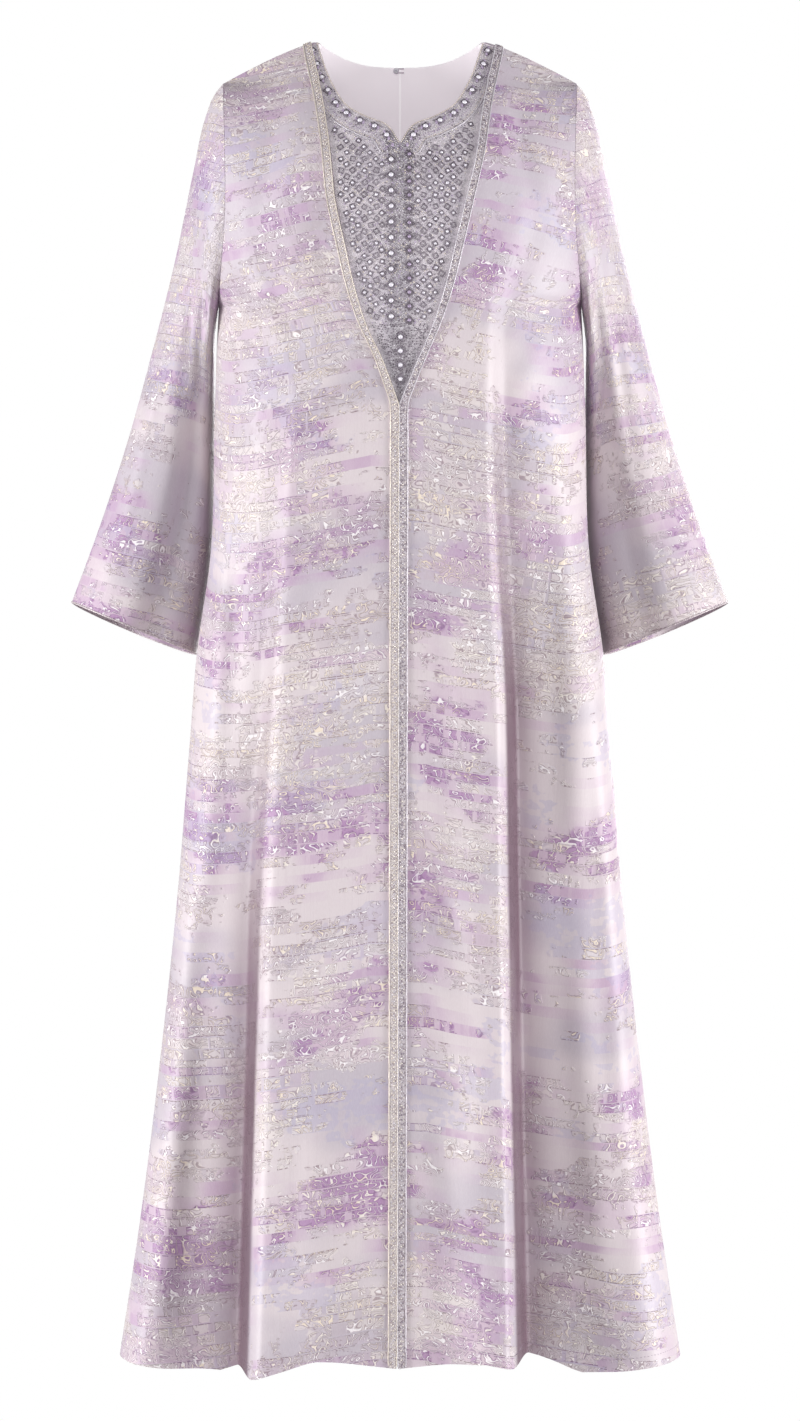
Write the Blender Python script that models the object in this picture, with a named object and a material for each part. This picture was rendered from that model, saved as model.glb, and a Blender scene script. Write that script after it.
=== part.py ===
"""A full-length kaftan, hollow as if worn, in metres with +Z up and -Y its front.

The origin is midway between the high shoulder points, where a wearer's shoulders hold it up.
+X is the wearer's left. A drop is a distance below the origin.
"""

from collections import namedtuple
import math

import bmesh
import bpy
from mathutils import Matrix, Vector
import numpy as np

# The cut
NECK_HALF = 0.0903
BACK_NECK_DROP = 0.0212
BACK_NECK_DEPTH = 0.066
SHOULDER_DROP = 0.046
UNDERARM_DROP = 0.290
ARMHOLE_HALF_DEPTH = 0.055
V_POINT_DROP = 0.4043
HEM_DROP = 1.436
HEM_TURNING = 0.012
CUFF_TURNING = 0.010

# Cloth and trims
CLOTH = 0.0015
HEM_CLOTH = 0.0026
LINING = 0.0010
SEAM_GAP = 0.0003
BRAID_WIDTH = 0.008
BRAID_THICKNESS = 0.0013
YOKE_UNDERLAP = 0.030

# Centre-front slit at the hem, and centre-back slit at the neck
HEM_SLIT_START = 1.412
HEM_SLIT_GAP = 0.0017
NECK_SLIT_TAPER, NECK_SLIT_END = 0.075, 0.125
NECK_SLIT_GAP = 0.0012
CENTRE_LEAN = 0.003

# Form of the filled-out body
SHOULDER_CURVE = 1.25
NECK_CURVE = 3.0
ROUNDING = {-1: 0.16, 1: 0.17}
ROUNDING_POWER = 0.85
WIDTH_POWER = 2.4
SHOULDER_EDGE_POWER = 1.1
SIDE_EDGE_POWER = 2.2
EDGE_TURN_START, EDGE_TURN_END = 0.20, 0.42
MOST_MITRE = 1.5
SHARP_ANGLE = math.radians(50)

FRONT, BACK = -1, 1
LEFT, RIGHT = 1, -1
SIDE_NAMES = {LEFT: "left", RIGHT: "right"}

Section = namedtuple("Section", "drop half_width front back")
SECTIONS = [
    Section(0.000, 0.1930, 0.085, 0.075),
    Section(0.050, 0.1930, 0.095, 0.085),
    Section(0.100, 0.1910, 0.108, 0.100),
    Section(0.200, 0.1905, 0.122, 0.112),
    Section(0.290, 0.1983, 0.127, 0.112),
    Section(0.400, 0.2028, 0.124, 0.108),
    Section(0.568, 0.2080, 0.120, 0.108),
    Section(0.667, 0.2222, 0.122, 0.112),
    Section(0.765, 0.2300, 0.126, 0.120),
    Section(0.940, 0.2442, 0.136, 0.138),
    Section(1.116, 0.2628, 0.148, 0.158),
    Section(1.291, 0.2847, 0.160, 0.178),
    Section(1.436, 0.3066, 0.172, 0.195),
]

# Inner edges of the two fronts above the V point
VEdge = namedtuple("VEdge", "drop left right")
V_EDGE = [
    VEdge(0.000, 0.1050, 0.0975),
    VEdge(0.086, 0.0885, 0.0810),
    VEdge(0.128, 0.0830, 0.0750),
    VEdge(0.185, 0.0705, 0.0690),
    VEdge(0.235, 0.0590, 0.0580),
    VEdge(0.275, 0.0495, 0.0490),
    VEdge(0.325, 0.0335, 0.0330),
    VEdge(0.355, 0.0205, 0.0185),
    VEdge(0.390, 0.0060, 0.0055),
    VEdge(0.4043, 0.0002, 0.0002),
]

# Round neckline of the yoke, from the shoulder to its notch
Neckline = namedtuple("Neckline", "place across drop")
NECKLINE = [
    Neckline(0.00, 0.0900, 0.000),
    Neckline(0.12, 0.0860, 0.014),
    Neckline(0.35, 0.0740, 0.048),
    Neckline(0.52, 0.0590, 0.074),
    Neckline(0.70, 0.0370, 0.089),
    Neckline(0.86, 0.0130, 0.100),
    Neckline(1.00, 0.0000, 0.120),
]

# One deep fold in each panel: its edge, its floor, and how far they stand out and in
Fold = namedtuple("Fold", "drop edge floor out inward")
FRONT_LEFT_FOLD = [
    Fold(0.00, 0.150, 0.168, 0.000, 0.000),
    Fold(0.20, 0.118, 0.136, 0.000, 0.000),
    Fold(0.31, 0.099, 0.119, 0.001, 0.003),
    Fold(0.45, 0.096, 0.115, 0.005, 0.012),
    Fold(0.60, 0.102, 0.120, 0.010, 0.028),
    Fold(0.72, 0.109, 0.126, 0.015, 0.042),
    Fold(0.90, 0.112, 0.129, 0.020, 0.052),
    Fold(1.10, 0.115, 0.132, 0.026, 0.062),
    Fold(1.436, 0.121, 0.139, 0.032, 0.078),
]
FRONT_RIGHT_FOLD = [
    Fold(0.00, 0.150, 0.168, 0.000, 0.000),
    Fold(0.20, 0.122, 0.142, 0.000, 0.000),
    Fold(0.40, 0.116, 0.138, 0.000, 0.001),
    Fold(0.60, 0.124, 0.146, 0.002, 0.005),
    Fold(0.75, 0.134, 0.155, 0.006, 0.012),
    Fold(0.90, 0.143, 0.163, 0.012, 0.026),
    Fold(1.10, 0.150, 0.168, 0.020, 0.046),
    Fold(1.436, 0.159, 0.176, 0.032, 0.070),
]
BACK_LEFT_FOLD = [
    Fold(0.00, 0.130, 0.148, 0.000, 0.000),
    Fold(0.20, 0.120, 0.140, 0.000, 0.000),
    Fold(0.45, 0.113, 0.136, 0.002, 0.006),
    Fold(0.70, 0.118, 0.140, 0.007, 0.018),
    Fold(1.00, 0.128, 0.149, 0.016, 0.036),
    Fold(1.436, 0.142, 0.163, 0.028, 0.060),
]
BACK_RIGHT_FOLD = [
    Fold(0.00, 0.130, 0.148, 0.000, 0.000),
    Fold(0.20, 0.122, 0.142, 0.000, 0.000),
    Fold(0.45, 0.117, 0.140, 0.001, 0.004),
    Fold(0.70, 0.120, 0.143, 0.005, 0.014),
    Fold(1.00, 0.126, 0.149, 0.014, 0.032),
    Fold(1.436, 0.136, 0.160, 0.030, 0.055),
]
FOLDS = {
    (FRONT, LEFT): FRONT_LEFT_FOLD,
    (FRONT, RIGHT): FRONT_RIGHT_FOLD,
    (BACK, LEFT): BACK_LEFT_FOLD,
    (BACK, RIGHT): BACK_RIGHT_FOLD,
}

# How far the hem dips below its level at each place across a front
Dip = namedtuple("Dip", "place dip")
HEM_DIPS = [
    Dip(0.00, -0.003),
    Dip(0.20, 0.000),
    Dip(0.42, 0.005),
    Dip(0.52, 0.003),
    Dip(0.62, -0.007),
    Dip(0.78, 0.001),
    Dip(1.00, 0.000),
]
HEM_DIP_START = 1.20

# Places across a panel, 0 at its inner edge and 1 at the armhole and side seam
BRAID_PLACE, YOKE_PLACE = 0.03, 0.10
FOLD_RISE, FOLD_EDGE, FOLD_FLOOR, FOLD_END = 0.15, 0.50, 0.62, 0.90
FLANK_START, FLANK_END = 0.45, 0.64
NECK_PLACE = 0.38
FRONT_PLACES = (
    0.0, BRAID_PLACE, YOKE_PLACE, 0.20, 0.30, 0.38, 0.45, FOLD_EDGE,
    0.54, 0.58, FOLD_FLOOR, 0.68, 0.75, 0.82, 0.89, 0.95, 1.0,
)
BACK_PLACES = (
    0.0, 0.06, 0.13, 0.20, 0.27, 0.33, NECK_PLACE, 0.44, FOLD_EDGE,
    0.54, 0.58, FOLD_FLOOR, 0.69, 0.77, 0.85, 0.93, 1.0,
)

# Rows down a panel
ARMHOLE_ROWS = 10
V_ROWS_END = 0.340
BRIDGE_OUTER_DROPS = (0.335, 0.392)
SKIRT_START = 0.455
SKIRT_ROWS = 12
SKIRT_END = 1.365
LINING_ROWS, LINING_COLUMNS = 9, 13
YOKE_STEPS = 5

# A sleeve's upper edge, from the shoulder to the cuff
SleeveTop = namedtuple("SleeveTop", "drop across")
SLEEVE_TOP = [
    SleeveTop(0.046, 0.1930),
    SleeveTop(0.058, 0.2030),
    SleeveTop(0.078, 0.2115),
    SleeveTop(0.141, 0.2270),
    SleeveTop(0.240, 0.2485),
    SleeveTop(0.338, 0.2735),
    SleeveTop(0.437, 0.3010),
    SleeveTop(0.535, 0.3333),
    SleeveTop(0.6133, 0.3622),
]
SleeveUnder = namedtuple("SleeveUnder", "drop across")
SLEEVE_UNDER = [
    SleeveUnder(0.290, 0.1983),
    SleeveUnder(0.328, 0.2035),
    SleeveUnder(0.366, 0.2040),
    SleeveUnder(0.461, 0.2030),
    SleeveUnder(0.556, 0.2060),
    SleeveUnder(0.620, 0.2145),
    SleeveUnder(0.670, 0.2246),
]
SleeveRing = namedtuple("SleeveRing", "place centre half_depth trough")
SLEEVE_RINGS = [
    SleeveRing(0.00, 0.000, 0.055, 0.000),
    SleeveRing(0.10, 0.015, 0.055, 0.000),
    SleeveRing(0.20, 0.031, 0.056, 0.003),
    SleeveRing(0.32, 0.042, 0.057, 0.006),
    SleeveRing(0.50, 0.049, 0.058, 0.008),
    SleeveRing(1.00, 0.051, 0.062, 0.009),
]
RING_PLACES = (
    0.0, 0.03, 0.07, 0.12, 0.18, 0.25, 0.33, 0.42, 0.52, 0.62, 0.72, 0.82, 0.91,
)
SEAM_PULL_END = 0.15
TROUGH_ANGLES = (0.62 * math.pi, 1.36 * math.pi)
TROUGH_WIDTH = 0.16 * math.pi
CUFF_DIP = 0.005

# Neck button and its loop
BUTTON_ACROSS, BUTTON_DROP = -0.0044, 0.0240
LOOP_END_ACROSS = 0.0045
STONE_RADIUS, TABLE_RADIUS, SHANK_RADIUS = 0.0036, 0.0021, 0.0014
SHANK_HEIGHT, STONE_HEIGHT = 0.0018, 0.0030
GIRDLE_SHARE = 0.35
BUTTON_SEAT = 0.0006
LOOP_RADIUS = 0.0005

Finish = namedtuple("Finish", "colour roughness metallic")
FINISHES = {
    "brocade": Finish((0.66, 0.59, 0.62), 0.42, 0.0),
    "lining_satin": Finish((0.71, 0.66, 0.71), 0.38, 0.0),
    "yoke_cloth": Finish((0.50, 0.46, 0.53), 0.40, 0.2),
    "braid_beads": Finish((0.62, 0.58, 0.52), 0.30, 0.6),
    "crystal": Finish((0.80, 0.80, 0.82), 0.08, 0.0),
    "loop_thread": Finish((0.55, 0.50, 0.54), 0.60, 0.0),
}


def clear_scene():
    for thing in list(bpy.data.objects):
        bpy.data.objects.remove(thing)


def along(table, column, place):
    """A column of a table at this place, on a smooth curve through the rows."""
    knots = np.array([row[0] for row in table])
    values = np.array([getattr(row, column) for row in table])
    slopes = np.gradient(values, knots)
    place = np.clip(place, knots[0], knots[-1])
    start = np.clip(np.searchsorted(knots, place, side="right") - 1, 0, len(knots) - 2)
    step = knots[start + 1] - knots[start]
    t = (place - knots[start]) / step
    rise = values[start + 1] - values[start]
    bend_in = slopes[start] * step - rise
    bend_out = rise - slopes[start + 1] * step
    return values[start] + t * rise + t * (1 - t) * ((1 - t) * bend_in + t * bend_out)


def smooth_step(start, end, place):
    t = np.clip((place - start) / (end - start), 0.0, 1.0)
    return t * t * (3 - 2 * t)


def half_width(drop):
    return along(SECTIONS, "half_width", drop)


def top_drop(face, across):
    """Drop of the panel's top edge: the shoulder seam and, on the back, the neck edge."""
    shoulder_run = half_width(SHOULDER_DROP) - NECK_HALF
    reach = np.clip((across - NECK_HALF) / shoulder_run, 0.0, 1.0)
    seam = SHOULDER_DROP * reach**SHOULDER_CURVE
    if face == FRONT:
        return seam
    inside = np.clip(across / NECK_HALF, 0.0, 1.0)
    return seam + BACK_NECK_DROP * (1 - inside**NECK_CURVE)


def neck_depth(face, across):
    """How far the top edge lies behind the shoulder line."""
    if face == FRONT:
        return np.zeros_like(across)
    inside = np.clip(across / NECK_HALF, 0.0, 1.0)
    return BACK_NECK_DEPTH * (1 - inside**WIDTH_POWER) ** (1 / SHOULDER_EDGE_POWER)


def armhole_depth(drop):
    middle = (SHOULDER_DROP + UNDERARM_DROP) / 2
    reach = np.clip((drop - middle) / (UNDERARM_DROP - middle), -1.0, 1.0)
    return ARMHOLE_HALF_DEPTH * np.sqrt(1 - reach**2)


def body_depth(face, across, drop):
    """Distance of the plain body surface from the shoulder plane."""
    column = "front" if face == FRONT else "back"
    below_edge = np.maximum(drop - top_drop(face, across), 0.0)
    closing = 1 - (1 - np.minimum(1.0, below_edge / ROUNDING[face])) ** 2
    closing = closing**ROUNDING_POWER
    edge = neck_depth(face, across)
    middle = edge + (along(SECTIONS, column, drop) - edge) * closing
    side = armhole_depth(drop)
    turned = smooth_step(EDGE_TURN_START, EDGE_TURN_END, drop)
    edge_power = SHOULDER_EDGE_POWER + (SIDE_EDGE_POWER - SHOULDER_EDGE_POWER) * turned
    reach = np.clip(across / half_width(drop), 0.0, 1.0)
    return side + (middle - side) * (1 - reach**WIDTH_POWER) ** (1 / edge_power)


def inner_edge(face, side, drop):
    """Distance across to the panel's inner edge: V edge, centre front or centre back."""
    if face == BACK:
        opening = NECK_SLIT_GAP * (1 - smooth_step(NECK_SLIT_TAPER, NECK_SLIT_END, drop))
        return (SEAM_GAP + opening) / 2
    opening = (HEM_SLIT_GAP - SEAM_GAP) * smooth_step(HEM_SLIT_START, HEM_DROP, drop)
    centre = -side * CENTRE_LEAN * drop / HEM_DROP
    v_edge = np.where(drop < V_POINT_DROP, along(V_EDGE, SIDE_NAMES[side], drop), 0.0)
    return centre + v_edge + (SEAM_GAP + opening) / 2


def row_drops(face, side):
    """(inner, outer): the drops of each row at the panel's inner edge and at its outer edge."""
    steps = np.arange(ARMHOLE_ROWS + 1) / ARMHOLE_ROWS
    middle = (SHOULDER_DROP + UNDERARM_DROP) / 2
    armhole = middle - (UNDERARM_DROP - middle) * np.cos(math.pi * steps)
    top = top_drop(face, inner_edge(face, side, np.array(0.0)))
    inner = top + (V_ROWS_END - top) * steps
    bridge_inner = np.array([(V_ROWS_END + V_POINT_DROP) / 2, V_POINT_DROP])
    skirt = np.linspace(SKIRT_START, SKIRT_END, SKIRT_ROWS)
    turning = HEM_DROP - HEM_TURNING
    hem = np.array([turning - (HEM_CLOTH - CLOTH), turning, HEM_DROP])
    return (
        np.concatenate([inner, bridge_inner, skirt, hem]),
        np.concatenate([armhole, BRIDGE_OUTER_DROPS, skirt, hem]),
    )


def across_of(face, side, places, inner_drop, outer_drop):
    """Distance across of each place in one row, following the fold's edge and floor."""
    fold_drop = (inner_drop + outer_drop) / 2
    fold = FOLDS[face, side]
    fold_edge = along(fold, "edge", fold_drop)
    fold_floor = along(fold, "floor", fold_drop)
    inside = inner_edge(face, side, inner_drop)
    outside = half_width(outer_drop)
    if face == FRONT:
        marks = (0.0, BRAID_PLACE, YOKE_PLACE, FOLD_EDGE)
        acrosses = (inside, inside + BRAID_WIDTH, inside + YOKE_UNDERLAP, fold_edge)
    else:
        marks = (0.0, NECK_PLACE, FOLD_EDGE)
        acrosses = (inside, NECK_HALF * fold_edge / fold[0].edge, fold_edge)
    inner_part = np.interp(places, marks, acrosses)
    flank = fold_edge + (fold_floor - fold_edge) * (places - FOLD_EDGE) / (FOLD_FLOOR - FOLD_EDGE)
    start_angle = np.arcsin(np.clip(fold_floor / outside, 0.0, 1.0))
    turn = (places - FOLD_FLOOR) / (1 - FOLD_FLOOR)
    outer_part = outside * np.sin(start_angle + (math.pi / 2 - start_angle) * turn)
    return np.where(
        places <= FOLD_EDGE, inner_part, np.where(places <= FOLD_FLOOR, flank, outer_part)
    )


def fold_push(face, side, places, drop):
    """How far the fold moves the cloth out of the plain body surface."""
    fold = FOLDS[face, side]
    flank = smooth_step(FLANK_START, FLANK_END, places)
    crest = smooth_step(FOLD_RISE, FLANK_START, places) * (1 - flank)
    valley = flank * (1 - smooth_step(FLANK_END, FOLD_END, places))
    return along(fold, "out", drop) * crest - along(fold, "inward", drop) * valley


def panel_grid(face, side):
    """Outer points of a front or back half: rows run down, places run out to the side."""
    places = np.array(FRONT_PLACES if face == FRONT else BACK_PLACES)
    grid = []
    for inner_drop, outer_drop in zip(*row_drops(face, side)):
        across = across_of(face, side, places, inner_drop, outer_drop)
        reach = (across - across[0]) / (across[-1] - across[0])
        inner_fall = inner_drop - top_drop(face, across[0])
        outer_fall = outer_drop - top_drop(face, across[-1])
        drop = top_drop(face, across) + inner_fall + (outer_fall - inner_fall) * reach
        depth = body_depth(face, across, drop) + fold_push(face, side, places, drop)
        if face == FRONT:
            late = smooth_step(HEM_DIP_START, HEM_DROP, drop)
            drop = drop + along(HEM_DIPS, "dip", places) * late
        grid.append(np.stack([side * across, face * depth, -drop], axis=1))
    return np.array(grid)


def sleeve_path(table, place):
    """Points down a sleeve's upper or under edge, by its share of the drop."""
    drop = table[0].drop + (table[-1].drop - table[0].drop) * place
    return np.array([along(table, "across", drop), 0.0, -drop])


def sleeve_places():
    length = SLEEVE_UNDER[-1].drop - SLEEVE_UNDER[0].drop
    turning = 1 - CUFF_TURNING / length
    return RING_PLACES + (turning - (HEM_CLOTH - CLOTH) / length, turning, 1.0)


def sleeve_ring(place):
    """One ring of the left sleeve: from its upper edge over the front to its under edge and back."""
    angles = 2 * math.pi * np.arange(2 * ARMHOLE_ROWS) / (2 * ARMHOLE_ROWS)
    upper = sleeve_path(SLEEVE_TOP, place)
    under = sleeve_path(SLEEVE_UNDER, place)
    half_chord = (upper - under) / 2
    centre = (upper + under) / 2 + np.array([0.0, along(SLEEVE_RINGS, "centre", place), 0.0])
    depth = along(SLEEVE_RINGS, "half_depth", place)
    shrink = np.ones_like(angles)
    for trough_angle in TROUGH_ANGLES:
        near = np.clip(1 - np.abs(angles - trough_angle) / TROUGH_WIDTH, 0.0, 1.0)
        shrink -= along(SLEEVE_RINGS, "trough", place) / depth * near**2 * (3 - 2 * near)
    ring = centre + np.outer(np.cos(angles) * shrink, half_chord)
    ring[:, 1] -= np.sin(angles) * shrink * depth
    length = np.linalg.norm(half_chord)
    down = np.array([half_chord[2], 0.0, -half_chord[0]]) / length
    ring += np.outer(CUFF_DIP * place * np.maximum(0.0, -np.sin(angles)), down)
    straight_x = ring[:, 0]
    pull = max(0.0, 1 - place / SEAM_PULL_END)
    seam_upper = sleeve_path(SLEEVE_TOP, 0.0)
    seam_under = sleeve_path(SLEEVE_UNDER, 0.0)
    seam_drop = -(seam_upper + seam_under)[2] / 2 + np.cos(angles) * (seam_under - seam_upper)[2] / 2
    seam_x = (seam_upper + seam_under)[0] / 2 + np.cos(angles) * (seam_upper - seam_under)[0] / 2
    ring[:, 0] = straight_x + pull * (half_width(seam_drop) - seam_x) + SEAM_GAP
    return ring


def sleeve_grid(side):
    grid = np.array([sleeve_ring(place) for place in sleeve_places()])
    grid[:, :, 0] *= side
    return grid


def grid_normals(grid, outward_sign, wraps=False):
    if wraps:
        across = np.roll(grid, -1, axis=1) - np.roll(grid, 1, axis=1)
    else:
        across = np.gradient(grid, axis=1)
    down = np.gradient(grid, axis=0)
    normals = outward_sign * np.cross(across, down)
    return normals / np.linalg.norm(normals, axis=2, keepdims=True)


def mitre_on_plane(normals, axis):
    """Offsets that keep a seam's wall in the seam's plane, at full thickness beside it."""
    flat = np.array(normals)
    flat[..., axis] = 0.0
    size = np.maximum((flat**2).sum(axis=-1, keepdims=True), 1 / MOST_MITRE)
    return flat / size


def mitre_between(first, second):
    shared = 1 + (first * second).sum(axis=-1, keepdims=True)
    return (first + second) / np.maximum(shared, 2 / MOST_MITRE)


def build_shapes():
    """Outer points and wall directions of every panel and sleeve, mitred where they join."""
    panels, normals = {}, {}
    for face in (FRONT, BACK):
        for side in (LEFT, RIGHT):
            panels[face, side] = panel_grid(face, side)
            normals[face, side] = grid_normals(panels[face, side], face * side)
    sleeves = {side: sleeve_grid(side) for side in (LEFT, RIGHT)}
    sleeve_normals = {side: grid_normals(sleeves[side], side, wraps=True) for side in sleeves}
    neck_column = BACK_PLACES.index(NECK_PLACE)
    for face, side in panels:
        directions = normals[face, side]
        seam_row = mitre_on_plane(directions[0], 1)
        side_seam = mitre_on_plane(directions[ARMHOLE_ROWS:, -1], 1)
        centre_start = ARMHOLE_ROWS + 2 if face == FRONT else 0
        centre = mitre_on_plane(directions[centre_start:, 0], 0)
        steps = np.arange(ARMHOLE_ROWS + 1)
        ring_steps = steps if face == FRONT else -steps
        armhole = mitre_between(
            directions[: ARMHOLE_ROWS + 1, -1], sleeve_normals[side][0, ring_steps]
        )
        armhole[[0, -1], 1] = 0.0
        if face == FRONT:
            directions[0] = seam_row
        else:
            directions[0, neck_column:] = seam_row[neck_column:]
        directions[centre_start:, 0] = centre
        directions[ARMHOLE_ROWS:, -1] = side_seam
        directions[: ARMHOLE_ROWS + 1, -1] = armhole
        sleeve_normals[side][0, ring_steps] = armhole
        edge = SEAM_GAP / 2
        panels[face, side][ARMHOLE_ROWS:, -1, 1] += face * edge
        panels[face, side][0, 0 if face == FRONT else neck_column :, 1] += face * edge
    return panels, normals, sleeves, sleeve_normals


def material(name):
    finish = FINISHES[name]
    made = bpy.data.materials.get(name)
    if made:
        return made
    made = bpy.data.materials.new(name)
    made.use_nodes = True
    shader = made.node_tree.nodes["Principled BSDF"]
    shader.inputs["Base Color"].default_value = (*finish.colour, 1.0)
    shader.inputs["Roughness"].default_value = finish.roughness
    shader.inputs["Metallic"].default_value = finish.metallic
    made.diffuse_color = (*finish.colour, 1.0)
    return made


def split_quad(a, b, c, d):
    """Two triangles on the diagonal a to c, so that layers laid on each other bend alike."""
    return [(a, b, c), (a, c, d)]


def grid_faces(rows, columns, wraps=False):
    around = columns if wraps else columns - 1
    faces = []
    for row in range(rows - 1):
        for column in range(around):
            beside = (column + 1) % columns
            faces += split_quad(
                row * columns + column,
                (row + 1) * columns + column,
                (row + 1) * columns + beside,
                row * columns + beside,
            )
    return faces


def rim_edges(faces):
    """Directed edges of the sheet that only one face has."""
    directed = set()
    for face in faces:
        directed.update(zip(face, face[1:] + face[:1]))
    return sorted(edge for edge in directed if edge[::-1] not in directed)


def add_wall(name, outer, directions, thickness, faces, finish):
    """One closed solid: a sheet, its copy moved inwards along the directions, and the rims between."""
    outer = outer.reshape(-1, 3)
    directions = directions.reshape(-1, 3)
    depth = np.broadcast_to(np.asarray(thickness, float), (len(outer),))
    inner = outer - directions * depth[:, None]
    count = len(outer)
    solid_faces = list(faces)
    solid_faces += [tuple(point + count for point in reversed(face)) for face in faces]
    solid_faces += [(b, a, a + count, b + count) for a, b in rim_edges(faces)]
    mesh = bpy.data.meshes.new(name)
    mesh.from_pydata(np.concatenate([outer, inner]).tolist(), [], solid_faces)
    return add_object(name, mesh, finish)


def add_object(name, mesh, finish):
    work = bmesh.new()
    work.from_mesh(mesh)
    bmesh.ops.recalc_face_normals(work, faces=work.faces)
    work.to_mesh(mesh)
    work.free()
    mesh.shade_smooth()
    mesh.set_sharp_from_angle(angle=SHARP_ANGLE)
    mesh.materials.append(material(finish))
    made = bpy.data.objects.new(name, mesh)
    bpy.context.collection.objects.link(made)
    return made


def turned_thickness(grid, turned_rows):
    """Cloth thickness at each point, with the turned hem's at the last rows."""
    thickness = np.full(grid.shape[:2], CLOTH)
    thickness[-turned_rows:] = HEM_CLOTH
    return thickness.reshape(-1)


def build_panels(panels, directions):
    names = {FRONT: "front", BACK: "back"}
    for (face, side), grid in panels.items():
        add_wall(
            f"{names[face]}_{SIDE_NAMES[side]}",
            grid,
            directions[face, side],
            turned_thickness(grid, 2),
            grid_faces(*grid.shape[:2]),
            "brocade",
        )


def build_sleeves(sleeves, directions):
    for side, grid in sleeves.items():
        add_wall(
            f"sleeve_{SIDE_NAMES[side]}",
            grid,
            directions[side],
            turned_thickness(grid, 2),
            grid_faces(*grid.shape[:2], wraps=True),
            "brocade",
        )


def build_linings(panels, directions):
    for side in (LEFT, RIGHT):
        grid = panels[BACK, side][:LINING_ROWS, :LINING_COLUMNS]
        inward = directions[BACK, side][:LINING_ROWS, :LINING_COLUMNS]
        add_wall(
            f"lining_{SIDE_NAMES[side]}",
            grid - inward * (CLOTH + SEAM_GAP),
            inward,
            LINING,
            grid_faces(*grid.shape[:2]),
            "lining_satin",
        )


def build_braids(panels, directions):
    for side in (LEFT, RIGHT):
        grid = panels[FRONT, side][:, :2]
        outward = directions[FRONT, side][:, :2]
        add_wall(
            f"braid_{SIDE_NAMES[side]}",
            grid + outward * (SEAM_GAP + BRAID_THICKNESS),
            outward,
            BRAID_THICKNESS,
            grid_faces(*grid.shape[:2]),
            "braid_beads",
        )


def front_normals(across, drop):
    """Outward normals of the plain front surface, pointing to -Y."""
    nudge = 0.001
    slope_x = (
        body_depth(FRONT, across + nudge, drop)
        - body_depth(FRONT, np.maximum(across - nudge, 0.0), drop)
    ) / (across + nudge - np.maximum(across - nudge, 0.0))
    slope_z = (body_depth(FRONT, across, drop - nudge) - body_depth(FRONT, across, drop + nudge)) / (
        2 * nudge
    )
    normals = np.stack([-slope_x, -np.ones_like(slope_x), -slope_z], axis=-1)
    return normals / np.linalg.norm(normals, axis=-1, keepdims=True)


def yoke_side(side, panel, directions):
    """Points and directions from the yoke's neckline, past the V edge and under the front."""
    last = ARMHOLE_ROWS + 2
    places = np.arange(last + 1) / last
    neck_across = along(NECKLINE, "across", places)
    neck_drop = along(NECKLINE, "drop", places)
    edge = panel[: last + 1, 0]
    edge_across, edge_drop = side * edge[:, 0], -edge[:, 2]
    points, inward = [], []
    for step in range(YOKE_STEPS):
        share = step / YOKE_STEPS
        across = neck_across + (edge_across - neck_across) * share
        drop = neck_drop + (edge_drop - neck_drop) * share
        depth = body_depth(FRONT, across, drop)
        normals = front_normals(across, drop)
        normals[:, 0] *= side
        normals[-1, 0] = 0.0
        normals[0] = mitre_on_plane(normals[0], 1)
        row = np.stack([side * across, -depth, -drop], axis=1)
        row[0, 1] = panel[0, 0, 1]
        points.append(row)
        inward.append(normals)
    for column in range(3):
        points.append(panel[: last + 1, column])
        inward.append(directions[: last + 1, column])
    return np.array(points), np.array(inward)


def build_yoke(panels, directions):
    """The beaded inner front: both sides share the points below the notch."""
    halves = {
        side: yoke_side(side, panels[FRONT, side], directions[FRONT, side]) for side in (LEFT, RIGHT)
    }
    steps, rows = halves[LEFT][0].shape[:2]
    points, inward, numbers = [], [], {}
    for side in (LEFT, RIGHT):
        half_points, half_inward = halves[side]
        for step in range(steps):
            for row in range(rows):
                shared = row == rows - 1 and step <= YOKE_STEPS
                if shared and side == RIGHT:
                    number = numbers[LEFT, step, row]
                    points[number] = (points[number] + half_points[step, row]) / 2
                    inward[number] = (inward[number] + half_inward[step, row]) / 2
                else:
                    number = len(points)
                    points.append(half_points[step, row])
                    inward.append(half_inward[step, row])
                numbers[side, step, row] = number
    faces = []
    for side in (LEFT, RIGHT):
        for step in range(steps - 1):
            for row in range(rows - 1):
                corners = ((step, row), (step, row + 1), (step + 1, row + 1), (step + 1, row))
                pair = split_quad(*(numbers[side, a, b] for a, b in corners))
                faces += pair if side == LEFT else [face[::-1] for face in pair]
    points, inward = np.array(points), np.array(inward)
    add_wall("yoke", points - inward * (CLOTH + SEAM_GAP), inward, CLOTH, faces, "yoke_cloth")


def lining_frame(across, drop):
    """Place and turn of something seated on the lining's inner face, with its local +Z off the face."""
    depth = float(body_depth(BACK, np.array(abs(across)), np.array(drop)))
    nudge = 0.003
    lower = float(body_depth(BACK, np.array(abs(across)), np.array(drop + nudge)))
    slope = (lower - depth) / nudge
    outward = Vector((0.0, 1.0, slope)).normalized()
    seat = Vector((across, depth, -drop)) - outward * (CLOTH + SEAM_GAP + LINING + BUTTON_SEAT)
    turn = (-outward).to_track_quat("Z", "Y")
    return Matrix.Translation(seat) @ turn.to_matrix().to_4x4()


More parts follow.
